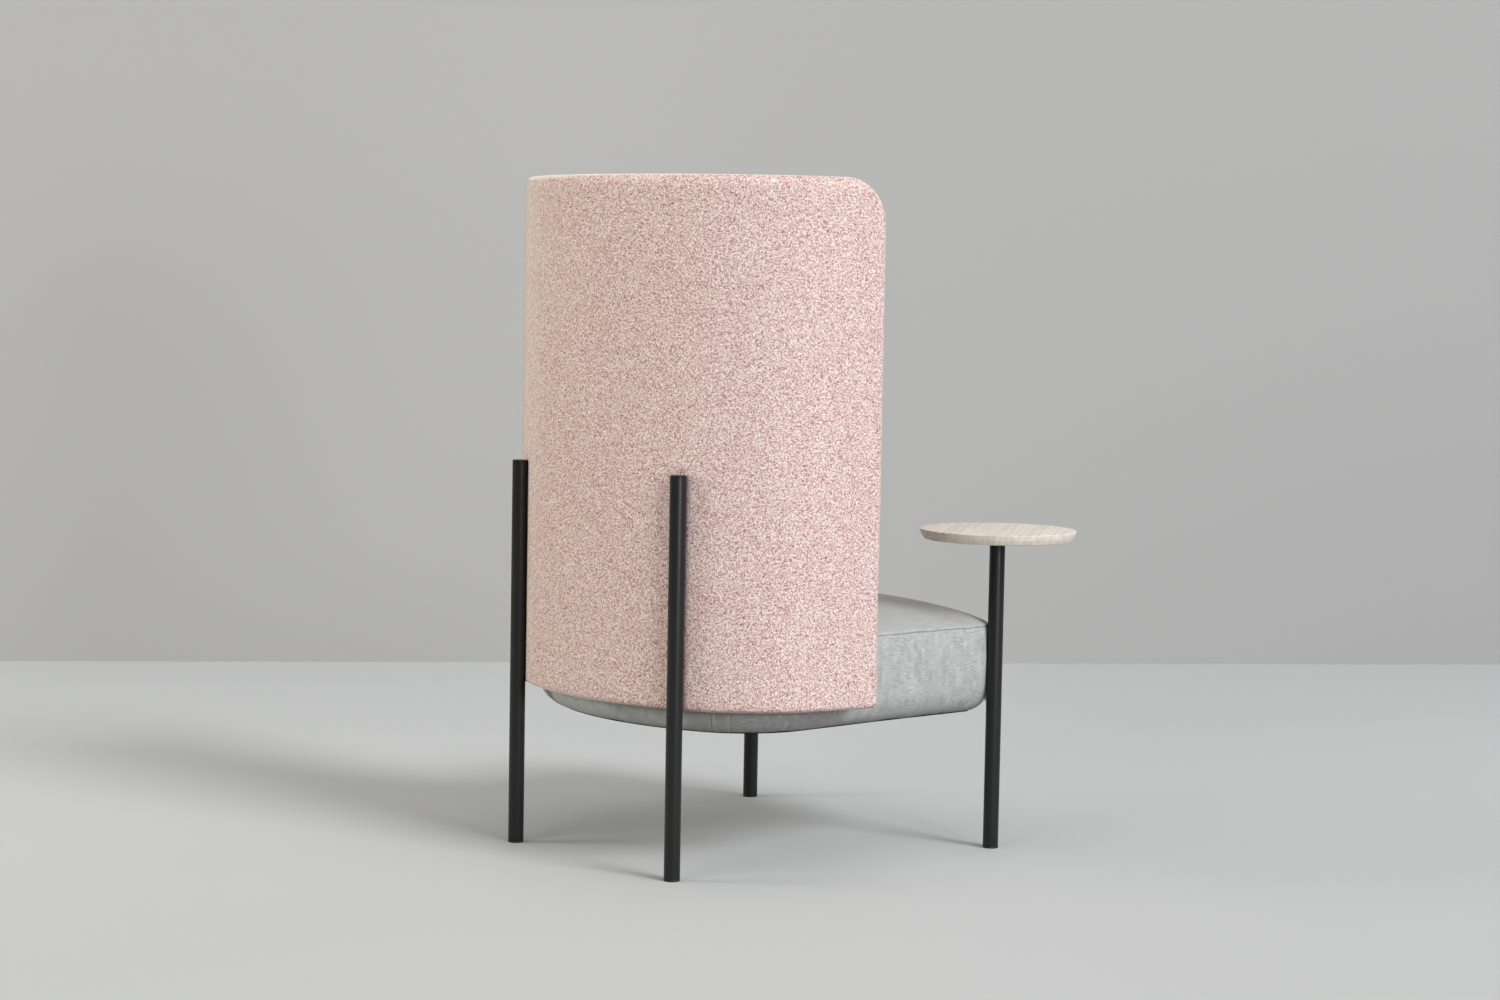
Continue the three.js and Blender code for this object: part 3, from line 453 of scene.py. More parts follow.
def end_tree(put, copies, material, output):
    """The last nodes of a tree: its copies are made real and smooth, and get their material."""
    real = put("GeometryNodeRealizeInstances", {"Geometry": copies})
    smooth = put("GeometryNodeSetShadeSmooth", {"Geometry": real.outputs[0]})
    coated = put("GeometryNodeSetMaterial", {"Geometry": smooth.outputs[0], "Material": material})
    put("NodeGroupOutput", {output: coated.outputs[0]})


def turned_copies():
    """A tree that turns a profile about the Z axis and sets a copy of it at each point it is given."""
    inputs = {"Places": "Geometry", "Profile": "Object", "Profile points": "Int"}
    inputs |= {"Sides": "Int", "Finish": "Material"}
    tree, keys, put = new_tree("turned_copies", inputs, "Copies")

    def count(operation, first, second=0):
        return put("ShaderNodeMath", {0: first, 1: second}, operation=operation).outputs[0]

    given = put("NodeGroupInput").outputs
    ends = count("ADD", given["Sides"], 1)
    sheet = put("GeometryNodeMeshGrid", {"Vertices X": given["Profile points"], "Vertices Y": ends})
    number = put("GeometryNodeInputIndex").outputs[0]
    along = count("FLOOR", count("DIVIDE", count("ADD", number, 0.5), ends))
    step = count("DIVIDE", -math.tau, given["Sides"])
    around = count("MULTIPLY", count("FLOORED_MODULO", number, ends), step)
    source = put("GeometryNodeObjectInfo", {"Object": given["Profile"]}).outputs["Geometry"]
    position = put("GeometryNodeInputPosition").outputs[0]
    sampled = {"Geometry": source, "Index": along, "Value": position}
    sample = put("GeometryNodeSampleIndex", sampled, data_type="FLOAT_VECTOR", domain="POINT")
    parts = put("ShaderNodeSeparateXYZ", {0: sample.outputs[0]}).outputs
    x = count("MULTIPLY", parts["X"], count("COSINE", around))
    y = count("MULTIPLY", parts["X"], count("SINE", around))
    place = put("ShaderNodeCombineXYZ", {"X": x, "Y": y, "Z": parts["Z"]}).outputs[0]
    turned_sheet = put("GeometryNodeSetPosition", {"Geometry": sheet.outputs["Mesh"], "Position": place})
    merged = put("GeometryNodeMergeByDistance", {"Geometry": turned_sheet.outputs[0], "Distance": 1e-6})
    spots = put("GeometryNodeMeshToPoints", {"Mesh": given["Places"]}).outputs[0]
    copies = put("GeometryNodeInstanceOnPoints", {"Points": spots, "Instance": merged.outputs[0]})
    end_tree(put, copies.outputs[0], given["Finish"], "Copies")
    return tree, keys


turning = turned_copies()


def evaluated(made):
    return made.evaluated_get(bpy.context.evaluated_depsgraph_get())


def grown(name, points, edges, growth, values):
    """Runs a geometry tree on points and edges, and keeps the result as a plain mesh object."""
    tree, keys = growth
    mesh = bpy.data.meshes.new(name + "_base")
    mesh.from_pydata([tuple(p) for p in points], edges, [])
    made = new_object(name, mesh)
    modifier = made.modifiers.new("growth", "NODES")
    modifier.node_group = tree
    for label, value in values.items():
        modifier[keys[label]] = value
    made.update_tag()
    bpy.context.view_layer.update()
    result = bpy.data.meshes.new_from_object(evaluated(made))
    made.modifiers.clear()
    made.data = result
    result.name = name
    return made


def turned_pieces(name, profile, places, sides, material):
    """Turned copies of a profile of (radius, height) points, sharp where its corners are tight."""
    line = bpy.data.meshes.new(name + "_profile")
    edges = [(i, i + 1) for i in range(len(profile) - 1)]
    line.from_pydata([(r, 0, h) for r, h in profile], edges, [])
    holder = new_object(name + "_profile", line)
    values = {"Profile": holder, "Profile points": len(profile), "Sides": sides, "Finish": material}
    made = grown(name, places, [], turning, values)
    bpy.data.objects.remove(holder)
    made.data.set_sharp_from_angle(angle=math.radians(35))
    return made


def rounded(corners, radius, steps=4):
    """A profile with each inner corner eased by a small round."""
    eased = [corners[0]]
    for before, corner, after in zip(corners, corners[1:], corners[2:]):
        ways = [np.subtract(p, corner) for p in (before, after)]
        lengths = [np.linalg.norm(w) for w in ways]
        near, far = (np.add(corner, w / n * min(radius, n * 0.45)) for w, n in zip(ways, lengths))
        for t in np.linspace(0, 1, steps + 1):
            eased.append(tuple((1 - t) ** 2 * near + 2 * t * (1 - t) * np.array(corner) + t**2 * far))
    eased.append(corners[-1])
    return eased


black_coat = new_material("satin_black_powder_coat", {"Roughness": 0.36, "Specular IOR Level": 0.42})
coat_place = object_place(black_coat)
coat_skin = noise(black_coat, coat_place, 1400.0, 1.0)
coat_drift = noise(black_coat, coat_place, 30.0, 2.0)
coat_colour = ramp(black_coat, coat_drift, colours((0.3, 15, 15, 16), (0.7, 20, 20, 21)))
coat_gloss = node(black_coat, "MapRange", {"Value": coat_skin, "To Min": 0.34, "To Max": 0.44})
coat_relief = relief(black_coat, coat_skin, 0.00004, 0.6)
give(black_coat, coat_colour, coat_gloss.outputs["Result"], coat_relief)

nylon = new_material("black_nylon", {"Roughness": 0.55})
nylon_skin = noise(nylon, object_place(nylon), 2200.0, 1.0)
mottle(nylon, nylon_skin, colours((0.3, 24, 24, 25), (0.7, 31, 31, 32)), 0.00005, 0.5)

tube_wall, glide_height, cap_thickness, tube_sides = 0.002, 0.0035, 0.0025, 56
for name in post_names:
    low, high = glide_height + part_gap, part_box(name + "_post")[1].z
    bore, middle, foot = post_radius - tube_wall, (low + high) / 2, feet[name]
    wall = [(bore, middle), (bore, low), (post_radius, low)]
    wall += [(post_radius, high), (bore, high), (bore, middle)]
    tube = turned_pieces(
        name + "_tube", rounded(wall, 0.0004), [(foot.x, foot.y, 0)], tube_sides, black_coat
    )
    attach(tube, "root")
    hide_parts(name + "_post")

capped = [n for n in post_names if n + "_cap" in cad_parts]
plug_radius = post_radius - tube_wall - part_gap
plug_depth, glide_plug_top = 0.0105, glide_height + 0.015
cap_profile = [(0, -plug_depth), (plug_radius, -plug_depth), (plug_radius, -cap_thickness)]
cap_profile += [(post_radius, -cap_thickness), (post_radius, 0), (0, 0)]
cap_places = [(feet[n].x, feet[n].y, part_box(n + "_cap")[1].z) for n in capped]
caps = turned_pieces("post_caps", rounded(cap_profile, 0.0009), cap_places, tube_sides, black_coat)
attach(caps, "root")
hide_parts(*[n + "_cap" for n in capped])

glide_profile = [(0, 0), (post_radius, 0), (post_radius, glide_height)]
glide_profile += [(plug_radius, glide_height), (plug_radius, glide_plug_top), (0, glide_plug_top)]
glide_places = [(f.x, f.y, 0) for f in feet.values()]
glides = turned_pieces("foot_glides", rounded(glide_profile, 0.001), glide_places, tube_sides, nylon)
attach(glides, "root")
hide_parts(*[n + "_glide" for n in post_names])


# Seat frame. Four rails of beech, glued into a hoop with blocks in the corners, are strung with
# woven straps; the frame hangs on the shell's fixings behind and on the front posts' bolts.
beech = new_material("beech_rails", {"Roughness": 0.6})
beech_grain = noise(beech, object_place(beech, (18, 18, 260)), 1, 4)
mottle(beech, beech_grain, colours((0.3, 190, 152, 112), (0.7, 222, 190, 150)), 0.0002)
dress(beech, *[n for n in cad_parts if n.endswith(("_rail", "_block"))])

webbing = new_material("woven_webbing", {"Roughness": 0.85})
rows = {"Vector": object_place(webbing), "Scale": 95.0, "Distortion": 0.4}
webbing_rows = node(webbing, "TexWave", rows).outputs["Fac"]
mottle(webbing, webbing_rows, colours((0.2, 30, 30, 33), (0.8, 62, 62, 67)), 0.0005)
dress(webbing, *[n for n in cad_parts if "webbing" in n])


# Seat cushion. Foam with a crowned top wears a cover of pale grey linen weave: a top panel is sewn
# to a band that follows the sides, rolls under the lower edge and is hemmed below the frame.
seat_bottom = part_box("seat_cover")[0].z
seat_half_width, seat_side_length, seat_corner_radius, seat_front_radius = 0.323, 0.417, 0.045, 0.65
seam_height, seam_inset, crown_rise = seat_bottom + 0.157, 0.0025, 0.038
roll_radius, roll_height = 0.042, 0.06
seat_depth = shell_thickness + part_gap
turn_start = shell_arcs[0][1] / shell_arcs[0][0]
rear_radius = shell_arcs[0][0] - seat_depth
rear_corner_radius = (seat_half_width - rear_radius * math.sin(turn_start)) / (1 - math.sin(turn_start))
arc_centre_y = shell_middle.y - shell_arcs[0][0]
side_rear_y = arc_centre_y + (rear_radius - rear_corner_radius) * math.cos(turn_start)
corner_centre = Vector((seat_half_width - seat_corner_radius, side_rear_y - seat_side_length))
front_centre_y = corner_centre.y + math.sqrt(
    (seat_front_radius - seat_corner_radius) ** 2 - corner_centre.x**2
)
pleat_angles = [math.radians(35), math.radians(45)]


def seat_ring(inset, height, share=0.0, draw_in=0.003):
    """A ring of the seat's plan at a height, drawn in by an inset and shrunk inwards by a share."""
    side_x = seat_half_width - inset
    corner = max(seat_corner_radius - inset, 0.002)
    corner_x = side_x - corner
    front = seat_front_radius - inset
    corner_y = front_centre_y - math.sqrt((front - corner) ** 2 - corner_x**2)
    front_angle = math.asin(corner_x / (front - corner))
    angles = np.linspace(0, 1, 21) * turn_start
    xs = [rear_radius * np.sin(angles) - inset * np.sin(angles)]
    ys = [arc_centre_y + (rear_radius - inset) * np.cos(angles)]
    turn = refined(turn_start, math.pi / 2, 0.045, pleat_angles, 0.0075, 0.045)[1:]
    rear_x = seat_half_width - rear_corner_radius
    xs.append(rear_x + (rear_corner_radius - inset) * np.sin(turn))
    ys.append(side_rear_y + (rear_corner_radius - inset) * np.cos(turn))
    side = np.linspace(0, 1, 49)[1:-1]
    xs.append(side_x - draw_in * np.sin(math.pi * side) ** 2)
    ys.append(side_rear_y + (corner_y - side_rear_y) * side)
    round_angles = np.linspace(math.pi / 2, math.pi - front_angle, 15)
    xs.append(corner_x + corner * np.sin(round_angles))
    ys.append(corner_y + corner * np.cos(round_angles))
    run = np.linspace(0, 1, 33)[1:]
    pulled = front - draw_in * np.sin(math.pi * (run / 2 + 0.5)) ** 2 / 2
    sweep = math.pi - front_angle * (1 - run)
    xs.append(pulled * np.sin(sweep))
    ys.append(front_centre_y + pulled * np.cos(sweep))
    x, y = np.concatenate(xs), np.concatenate(ys)
    x[0] = x[-1] = 0
    ring_x = np.concatenate([-x, x[-2:0:-1]])
    ring_y = np.concatenate([y, y[-2:0:-1]])
    middle_y = (y[0] + y[-1]) / 2
    ring_x = ring_x * (1 - share)
    ring_y = ring_y + (middle_y - ring_y) * share
    return np.stack([shell_middle.x + ring_x, ring_y, np.full(len(ring_x), height)], -1)


def crown_height(share):
    """How high the top stands over the seam, from its sewn edge to the middle."""
    climb = 1 - (1 - min(share / 0.6, 1)) ** 2.7
    shoulder = 1 - math.exp(-share / 0.006)
    return 0.0008 + 0.0037 * shoulder + crown_rise * climb


# Rows of the cover from the middle of the underside to the middle of the top: inset, height, share
cover_rows = [(roll_radius + 0.006, seat_bottom, s) for s in (0.97, 0.6, 0.2, 0.05, 0.0)]
cover_rows += [
    (roll_radius * (1 - math.sin(t)), seat_bottom + roll_height * (1 - math.cos(t)), 0)
    for t in np.linspace(0, math.pi / 2, 13)
]
for height in np.linspace(seat_bottom + roll_height, seam_height - 0.006, 19)[1:]:
    rise = (height - seat_bottom - roll_height) / (seam_height - seat_bottom - roll_height)
    cover_rows.append((seam_inset * rise - 0.0022 * math.sin(math.pi * rise), height, 0))
for step in (-0.0042, -0.0028, -0.0018, -0.001, -0.0004, 0, 0.0004, 0.0008):
    dip = 0.0026 * math.exp(-((step / 0.0011) ** 2))
    cover_rows.append((seam_inset + dip, seam_height + step, 0))
seam_row = len(cover_rows) - 3
top_shares = [0.002, 0.004, 0.007, 0.011, 0.016, 0.023, 0.031, 0.041, 0.053, 0.067, 0.083, 0.101]
top_shares += list(np.linspace(0.125, 0.97, 24))
cover_rows += [(seam_inset, seam_height + crown_height(s), s) for s in top_shares]
seat_rings = [seat_ring(*row) for row in cover_rows]
ring_size = len(seat_rings[0])


def wrapped(rings):
    """Points and faces of a skin over rings of points, closed by a middle point at each end."""
    points = np.concatenate([*rings, [rings[0].mean(0), rings[-1].mean(0)]])
    size, total, faces = len(rings[0]), len(points) - 2, []
    for start in range(0, total - size, size):
        for k in range(size):
            n = (k + 1) % size
            faces.append((start + k, start + n, start + size + n, start + size + k))
    for k in range(size):
        n = (k + 1) % size
        faces.append((total, n, k))
        faces.append((total + 1, total - size + k, total - size + n))
    return points, faces


# Where each point lies on its panel of cloth: round the band, or straight across the top
seat_points, seat_faces = wrapped(seat_rings)
first_ring = seat_rings[0]
band_run = np.concatenate([[0], np.cumsum(np.linalg.norm(np.diff(seat_ring(0, 0), axis=0), axis=1))])
climbs = [0.0]
for lower, upper in zip(seat_rings[:-1], seat_rings[1:]):
    climbs.append(climbs[-1] + float(np.linalg.norm(upper - lower, axis=1).min()))
seat_places = []
for number, face in enumerate(seat_faces):
    row, k = divmod(number, ring_size)
    if row < seam_row:
        start = band_run[k]
        end = start + float(np.linalg.norm(first_ring[(k + 1) % ring_size] - first_ring[k]))
        below, above = climbs[row], climbs[row + 1]
        seat_places += [(start, below), (end, below), (end, above), (start, above)]
    else:
        seat_places += [tuple(seat_points[i][:2] + 3.0) for i in face]


def coordinates(mesh):
    found = np.empty(len(mesh.vertices) * 3, np.float32)
    mesh.vertices.foreach_get("co", found)
    return found.reshape(-1, 3)


def puffed(skin, voxel, pressure, cap):
    """Simulates a tight cloth skin on a stuffed form: where its points lie, and how far they moved."""
    remesh = skin.modifiers.new("even_cloth", "REMESH")
    remesh.mode = "VOXEL"
    remesh.voxel_size = voxel
    remeshed = bpy.data.meshes.new_from_object(evaluated(skin))
    skin.modifiers.clear()
    skin.data = remeshed
    start = coordinates(remeshed)
    cloth = skin.modifiers.new("tight_cover", "CLOTH")
    settings, cache = cloth.settings, cloth.point_cache
    settings.use_pressure = True
    settings.uniform_pressure_force = pressure
    settings.quality = 4
    settings.tension_stiffness = settings.compression_stiffness = 15
    settings.effector_weights.gravity = 0
    cache.frame_start, cache.frame_end = 1, 20
    for step in range(cache.frame_start, cache.frame_end + 1):
        bpy.context.scene.frame_set(step)
    moved = coordinates(evaluated(skin).data) - start
    bpy.data.objects.remove(skin)
    bpy.context.scene.frame_set(1)
    reach = np.linalg.norm(moved, axis=1, keepdims=True)
    return start, moved * np.minimum(1, cap / np.maximum(reach, 1e-6))


def carried(points, start, moved):
    """The simulated movement of the nearest cloth, at other points."""
    tree = KDTree(len(start))
    for i, place in enumerate(start):
        tree.insert(place, i)
    tree.balance()
    found = np.zeros_like(points)
    for i, point in enumerate(points):
        near = tree.find_n(point, 6)
        weights = np.array([1 / (d + 0.002) for _, _, d in near])
        found[i] = (moved[[j for _, j, _ in near]] * weights[:, None]).sum(0) / weights.sum()
    return found


def uneven_part(moved, ring_size, reach, cap):
    """What changes from place to place round each ring of a movement; its even swell is taken off."""
    rings = moved.reshape(-1, ring_size, 3)
    weights = np.exp(-np.linspace(-1.6, 1.6, 2 * reach + 1) ** 2)
    even = sum(np.roll(rings, i - reach, 1) * w for i, w in enumerate(weights)) / weights.sum()
    return np.clip(rings - even, -cap, cap).reshape(-1, 3)


# The stuffed cover's unevenness is simulated; it fades out behind, below and beside the posts
skin = closed_mesh("seat_skin", seat_points, seat_faces, beech)
skin_start, skin_moved = puffed(skin, voxel=0.006, pressure=4.0, cap=0.02)
skin_moved = carried(seat_points[:-2], skin_start, skin_moved)
swell = uneven_part(skin_moved, ring_size, reach=6, cap=0.0012)
behind = np.clip((seat_points[:-2, 1] - side_rear_y - 0.05) / 0.06, 0, 1)
under = np.clip((seat_bottom + 0.03 - seat_points[:-2, 2]) / 0.02, 0, 1)
beside = clearance(seat_points[:-2], front_feet)
loose = (1 - behind) * (1 - under) * np.clip(beside / 0.03 - 1, 0, 1)
seat_points[:-2] += swell * loose[:, None]
pucker = np.exp(-((seat_points[:, 2] - seam_height) / 0.014) ** 2)
seat_points[:, 2] += pucker * wander(seat_points, 0.022, seed=9) * 0.0004
for axis in front_feet:
    seat_points = pressed_by(seat_points, axis, 1.0, post_radius + groove_gap, softness=0.002)

# At each rear corner the band is pleated where it rolls under: two pressed folds, fading upwards
fold_depth, fold_width, lip_height, lip_width, lip_offset = 0.0022, 0.0016, 0.0019, 0.0024, 0.0038
rear_middle = np.array([seat_half_width - rear_corner_radius, side_rear_y])
from_corner = np.stack([np.abs(seat_points[:, 0] - shell_middle.x), seat_points[:, 1]], -1) - rear_middle
corner_reach = np.linalg.norm(from_corner, axis=1)
corner_way = from_corner / np.maximum(corner_reach, 1e-6)[:, None]
bend = np.arctan2(from_corner[:, 0], from_corner[:, 1])
lowness = np.clip((seat_bottom + 0.062 - seat_points[:, 2]) / 0.03, 0, 1)
lowness *= np.clip(corner_reach / 0.02 - 6.6, 0, 1)
fold = np.zeros(len(seat_points))
for angle, lean in zip(pleat_angles, (1, -1)):
    off = (bend - angle) * corner_reach
    fold -= fold_depth * np.exp(-((off / fold_width) ** 2))
    fold += lip_height * np.exp(-(((off - lean * lip_offset) / lip_width) ** 2))
fold *= lowness * (seat_points[:, 1] > side_rear_y)
side_sign = np.sign(seat_points[:, 0] - shell_middle.x)
seat_points[:, 0] += fold * corner_way[:, 0] * side_sign
seat_points[:, 1] += fold * corner_way[:, 1]
rolled = np.clip((seat_bottom + roll_height - seat_points[:, 2]) / 0.03, 0, 1)
seat_points[:, 2] += rolled * (wander(seat_points, 0.06, seed=8) * 0.0007 + 0.0004)

linen = new_material("pale_grey_linen", {"Roughness": 0.9, "Sheen Weight": 0.15})
linen_place = node(linen, "UVMap", uv_map="cloth").outputs["UV"]


def threads(across, along, detail=2.0):
    """Uneven threads that run one way: a noise drawn out along them."""
    stretch = {"Vector": linen_place, "Scale": (across, along, 1)}
    return noise(linen, node(linen, "Mapping", stretch).outputs["Vector"], 1.0, detail)


upright_threads, level_threads, fine_threads = threads(640, 30), threads(60, 700), threads(800, 800, 1.0)
weave = sum_of(linen, "ADD", upright_threads, sum_of(linen, "MULTIPLY", level_threads, 0.45))
weave = sum_of(linen, "ADD", weave, sum_of(linen, "MULTIPLY", fine_threads, 1.55))
weave = sum_of(linen, "DIVIDE", weave, 3.0)
linen_stops = colours(
    (0.38, 149, 150, 150), (0.46, 168, 169, 168), (0.54, 177, 178, 177), (0.62, 193, 193, 192)
)
mottle(linen, weave, linen_stops, 0.0006, 0.5)

seat_cover = closed_mesh("seat_upholstery", seat_points, seat_faces, linen, seat_places)
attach(seat_cover, "root")
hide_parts("seat_cover", "seat_foam")


# Seat seams. Grey thread closes the channel between top panel and band; the stitches are pulled
# down into the cloth, one after the other round the whole seat.
def stitched_line():
    """A tree that sets short stitches along a line of edges."""
    inputs = {"Line": "Geometry", "Pitch": "Float", "Stitch length": "Float"}
    inputs |= {"Thread width": "Float", "Thread": "Material"}
    tree, keys, put = new_tree("stitched_line", inputs, "Stitches")
    given = put("NodeGroupInput").outputs
    line = put("GeometryNodeMeshToCurve", {"Mesh": given["Line"]}).outputs[0]
    pitch = {"Curve": line, "Length": given["Pitch"]}
    spots = put("GeometryNodeCurveToPoints", pitch, mode="LENGTH").outputs
    turn = put("FunctionNodeAlignRotationToVector", {"Vector": spots["Tangent"]}, axis="X").outputs[0]
    loop = put("GeometryNodeMeshUVSphere", {"Segments": 8, "Rings": 5, "Radius": 0.5}).outputs["Mesh"]
    width = given["Thread width"]
    size = put("ShaderNodeCombineXYZ", {"X": given["Stitch length"], "Y": width, "Z": width}).outputs[0]
    shaped = put("GeometryNodeTransform", {"Geometry": loop, "Scale": size}).outputs[0]
    laid = {"Points": spots["Points"], "Instance": shaped, "Rotation": turn}
    copies = put("GeometryNodeInstanceOnPoints", laid).outputs[0]
    end_tree(put, copies, given["Thread"], "Stitches")
    return tree, keys


stitching = stitched_line()


def stitches(name, lines, pitch, length, width, thread):
    """Stitches along some lines of points; a line that ends where it starts is closed."""
    points, edges = [], []
    for line in lines:
        start = len(points)
        points += [tuple(p) for p in line]
        edges += [(start + i, start + i + 1) for i in range(len(line) - 1)]
    values = {"Pitch": pitch, "Stitch length": length, "Thread width": width, "Thread": thread}
    made = grown(name, points, edges, stitching, values)
    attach(made, "root")
    return made


def new_thread(name, light, dark):
    """Twisted sewing thread: two tones that wind round it."""
    thread = new_material(name, {"Roughness": 0.8, "Sheen Weight": 0.2})
    winding = {"Vector": object_place(thread), "Scale": 600.0, "Distortion": 2.0}
    ply = node(thread, "TexWave", winding).outputs["Fac"]
    mottle(thread, ply, [(0.3, dark), (0.7, light)], 0.0001)
    return thread


grey_thread = new_thread("grey_thread", shade(150, 152, 152), shade(118, 120, 120))
seam_ring = seat_points[seam_row * ring_size : (seam_row + 1) * ring_size]
along_seam = np.roll(seam_ring, -1, 0) - np.roll(seam_ring, 1, 0)
outward = np.stack([along_seam[:, 1], -along_seam[:, 0], np.zeros(ring_size)], -1)
outward /= np.linalg.norm(outward, axis=1, keepdims=True)
if ((seam_ring - seam_ring.mean(0)) * outward).sum() < 0:
    outward = -outward
seam_line = seam_ring + outward * 0.0003
seam_line = np.concatenate([seam_line, seam_line[:1]])
seat_stitches = stitches(
    "seat_seam_stitches", [seam_line], pitch=0.0034, length=0.0027, width=0.0007, thread=grey_thread
)
rose_thread = new_thread("rose_thread", shade(214, 172, 168), shade(176, 128, 128))
strip_stations = np.linspace(-strip_end + 0.003, strip_end - 0.003, 200)
strip_lines = [
    shell_point(strip_stations, depth, strip_low + 0.0001)
    for depth in (strip_shallow + 0.0018, strip_deep - 0.0018)
]
strip_stitches = stitches(
    "base_strip_stitches", strip_lines, pitch=0.0042, length=0.003, width=0.0006, thread=rose_thread
)


# Dust cloth. A thin black spunbonded sheet closes the underside of the seat; it is cut to the plan,
# laid over the cover's hem and stapled to the rails every few centimetres.
dust = new_material("black_spunbonded_cloth", {"Roughness": 0.95})
dots = {"Vector": object_place(dust), "Scale": 620.0, "Randomness": 0.15}
dust_dots = node(dust, "TexVoronoi", dots).outputs["Distance"]
mottle(dust, dust_dots, colours((0.2, 22, 22, 23), (0.6, 36, 36, 38)), 0.0002)
dust_low, dust_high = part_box("seat_dust_cloth")
dust_inset = roll_radius - 0.003
dust_shares = [0.98, 0.7, 0.4, 0.15, 0.04, 0.0]
dust_rings = []
dust_rows = [(s, dust_high.z) for s in dust_shares] + [(s, dust_low.z) for s in dust_shares[::-1]]
for share, height in dust_rows:
    ring = seat_ring(dust_inset, height, share)
    ring[:, 2] += np.clip(share / 0.04, 0, 1) * (wander(ring, 0.16, seed=12) * 0.0003 - 0.0008)
    dust_rings.append(ring)
dust_points, dust_faces = wrapped(dust_rings)
dust_faces = [(face[0],) + face[:0:-1] for face in dust_faces]
dust_cloth = closed_mesh("dust_cloth", dust_points, dust_faces, dust)
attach(dust_cloth, "root")
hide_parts("seat_dust_cloth")
dust_edge = seat_ring(dust_inset, dust_low.z)
staple_line = seat_ring(dust_inset + 0.008, dust_low.z - 0.0001)
staple_line = np.concatenate([staple_line, staple_line[:1]])
staples = stitches(
    "dust_cloth_staples", [staple_line], pitch=0.038, length=0.0115, width=0.0009, thread=zinc
)


# Table. A disc of pale oiled ash, turned with an undercut edge, sits on a flange that is plugged
# into the tall front post; four countersunk screws hold it from below.
ash = new_material("pale_oiled_ash", {"Roughness": 0.5})
ash_place = object_place(ash, turn=(0, 0, math.radians(52)))
ash_bent = blend_of(ash, 0.02, ash_place, noise(ash, ash_place, 7.0, 2.0, "Color"), "ADD")
ash_stretched = node(ash, "Mapping", {"Vector": ash_bent, "Scale": (3, 120, 90)}).outputs["Vector"]
ash_rings = noise(ash, ash_stretched, 1.0, 3.0)
ash_fine = node(ash, "Mapping", {"Vector": ash_place, "Scale": (30, 900, 900)}).outputs["Vector"]
ash_pores = noise(ash, ash_fine, 1.0, 2.0)
ash_stops = colours((0.34, 225, 211, 195), (0.5, 234, 226, 215), (0.66, 240, 235, 227))
pore_colour = ramp(ash, ash_pores, colours((0.3, 236, 228, 219), (0.5, 255, 255, 255)))
ash_colour = blend_of(ash, 1.0, ramp(ash, ash_rings, ash_stops), pore_colour, "MULTIPLY")
give(ash, ash_colour, normal=relief(ash, ash_pores, 0.0001, 0.5))

table_low, table_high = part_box("table_top")
table_radius, table_under_radius, table_bulge, table_sides = 0.142, 0.1335, 0.0009, 160
table_profile = [
    (0, table_low.z),
    (table_under_radius, table_low.z),
    ((table_radius + table_under_radius) / 2 + table_bulge, (table_low.z + table_high.z) / 2),
    (table_radius, table_high.z),
    (0, table_high.z),
]
table_foot = feet["front_right"]
table_places = [(table_foot.x, table_foot.y, 0)]
table = turned_pieces("table_top_disc", rounded(table_profile, 0.0012), table_places, table_sides, ash)
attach(table, "root")
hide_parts("table_top")
dress(black_coat, "table_flange")


# Studio. A pale painted floor runs up to a plain grey wall. A broad key light falls from the right,
# weak round lamps fill in from all sides, and the camera looks at the chair's right rear quarter.
def stage_sheet(name, corners, material):
    made = closed_mesh(name, corners, [(3, 2, 1, 0)], material)
    made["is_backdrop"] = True


leg_middle = Vector((shell_middle.x, (rear_feet[0].y + rear_feet[1].y) / 2, 0))
yaw, pitch, roll = 2.2941, -0.077, 0.0177
forward = Vector((math.sin(yaw) * math.cos(pitch), math.cos(yaw) * math.cos(pitch), math.sin(pitch)))
rightward = Vector((math.cos(yaw), -math.sin(yaw), 0))
toward_camera = -Vector((forward.x, forward.y, 0)).normalized()


def stage_paint(name, roughness, seen, bounced, tones):
    """Paint for the studio: one colour to the camera, and a darker one in the light that it throws back.

    Each tone is painted shade: a direction from the chair, with (metres, share of the light) stops along
    it, that darkens the colour seen by the camera where less lamplight falls. From behind the paint is
    clear, so that the chair can be looked at from the front and from below."""
    paint, painted_shade_reach = new_material(name, {"Roughness": roughness}), 4.0
    for direction, stops in tones:
        from_chair = {0: object_place(paint), 1: leg_middle}
        here = node(paint, "VectorMath", from_chair, operation="SUBTRACT").outputs[0]
        run = node(paint, "VectorMath", {0: here, 1: direction}, operation="DOT_PRODUCT")
        span = {"Value": run.outputs["Value"], "From Min": -painted_shade_reach, "From Max": painted_shade_reach}
        share = node(paint, "MapRange", span).outputs["Result"]
        painted_shade_greys = [((m + painted_shade_reach) / (2 * painted_shade_reach), (grey, grey, grey, 1)) for m, grey in stops]
        seen = blend_of(paint, 1.0, seen, ramp(paint, share, painted_shade_greys), "MULTIPLY")
    rays = node(paint, "LightPath").outputs
    shown = sum_of(paint, "MAXIMUM", rays["Is Camera Ray"], rays["Is Glossy Ray"])
    shown = sum_of(paint, "MAXIMUM", shown, rays["Is Transmission Ray"])
    give(paint, blend_of(paint, shown, bounced, seen))
    behind = node(paint, "NewGeometry").outputs["Backfacing"]
    clear = node(paint, "BsdfTransparent").outputs[0]
    nodes = paint.node_tree.nodes
    mixed = {0: behind, 1: nodes["Principled BSDF"].outputs[0], 2: clear}
    mixed = node(paint, "MixShader", mixed).outputs[0]
    paint.node_tree.links.new(mixed, nodes["Material Output"].inputs["Surface"])
    return paint
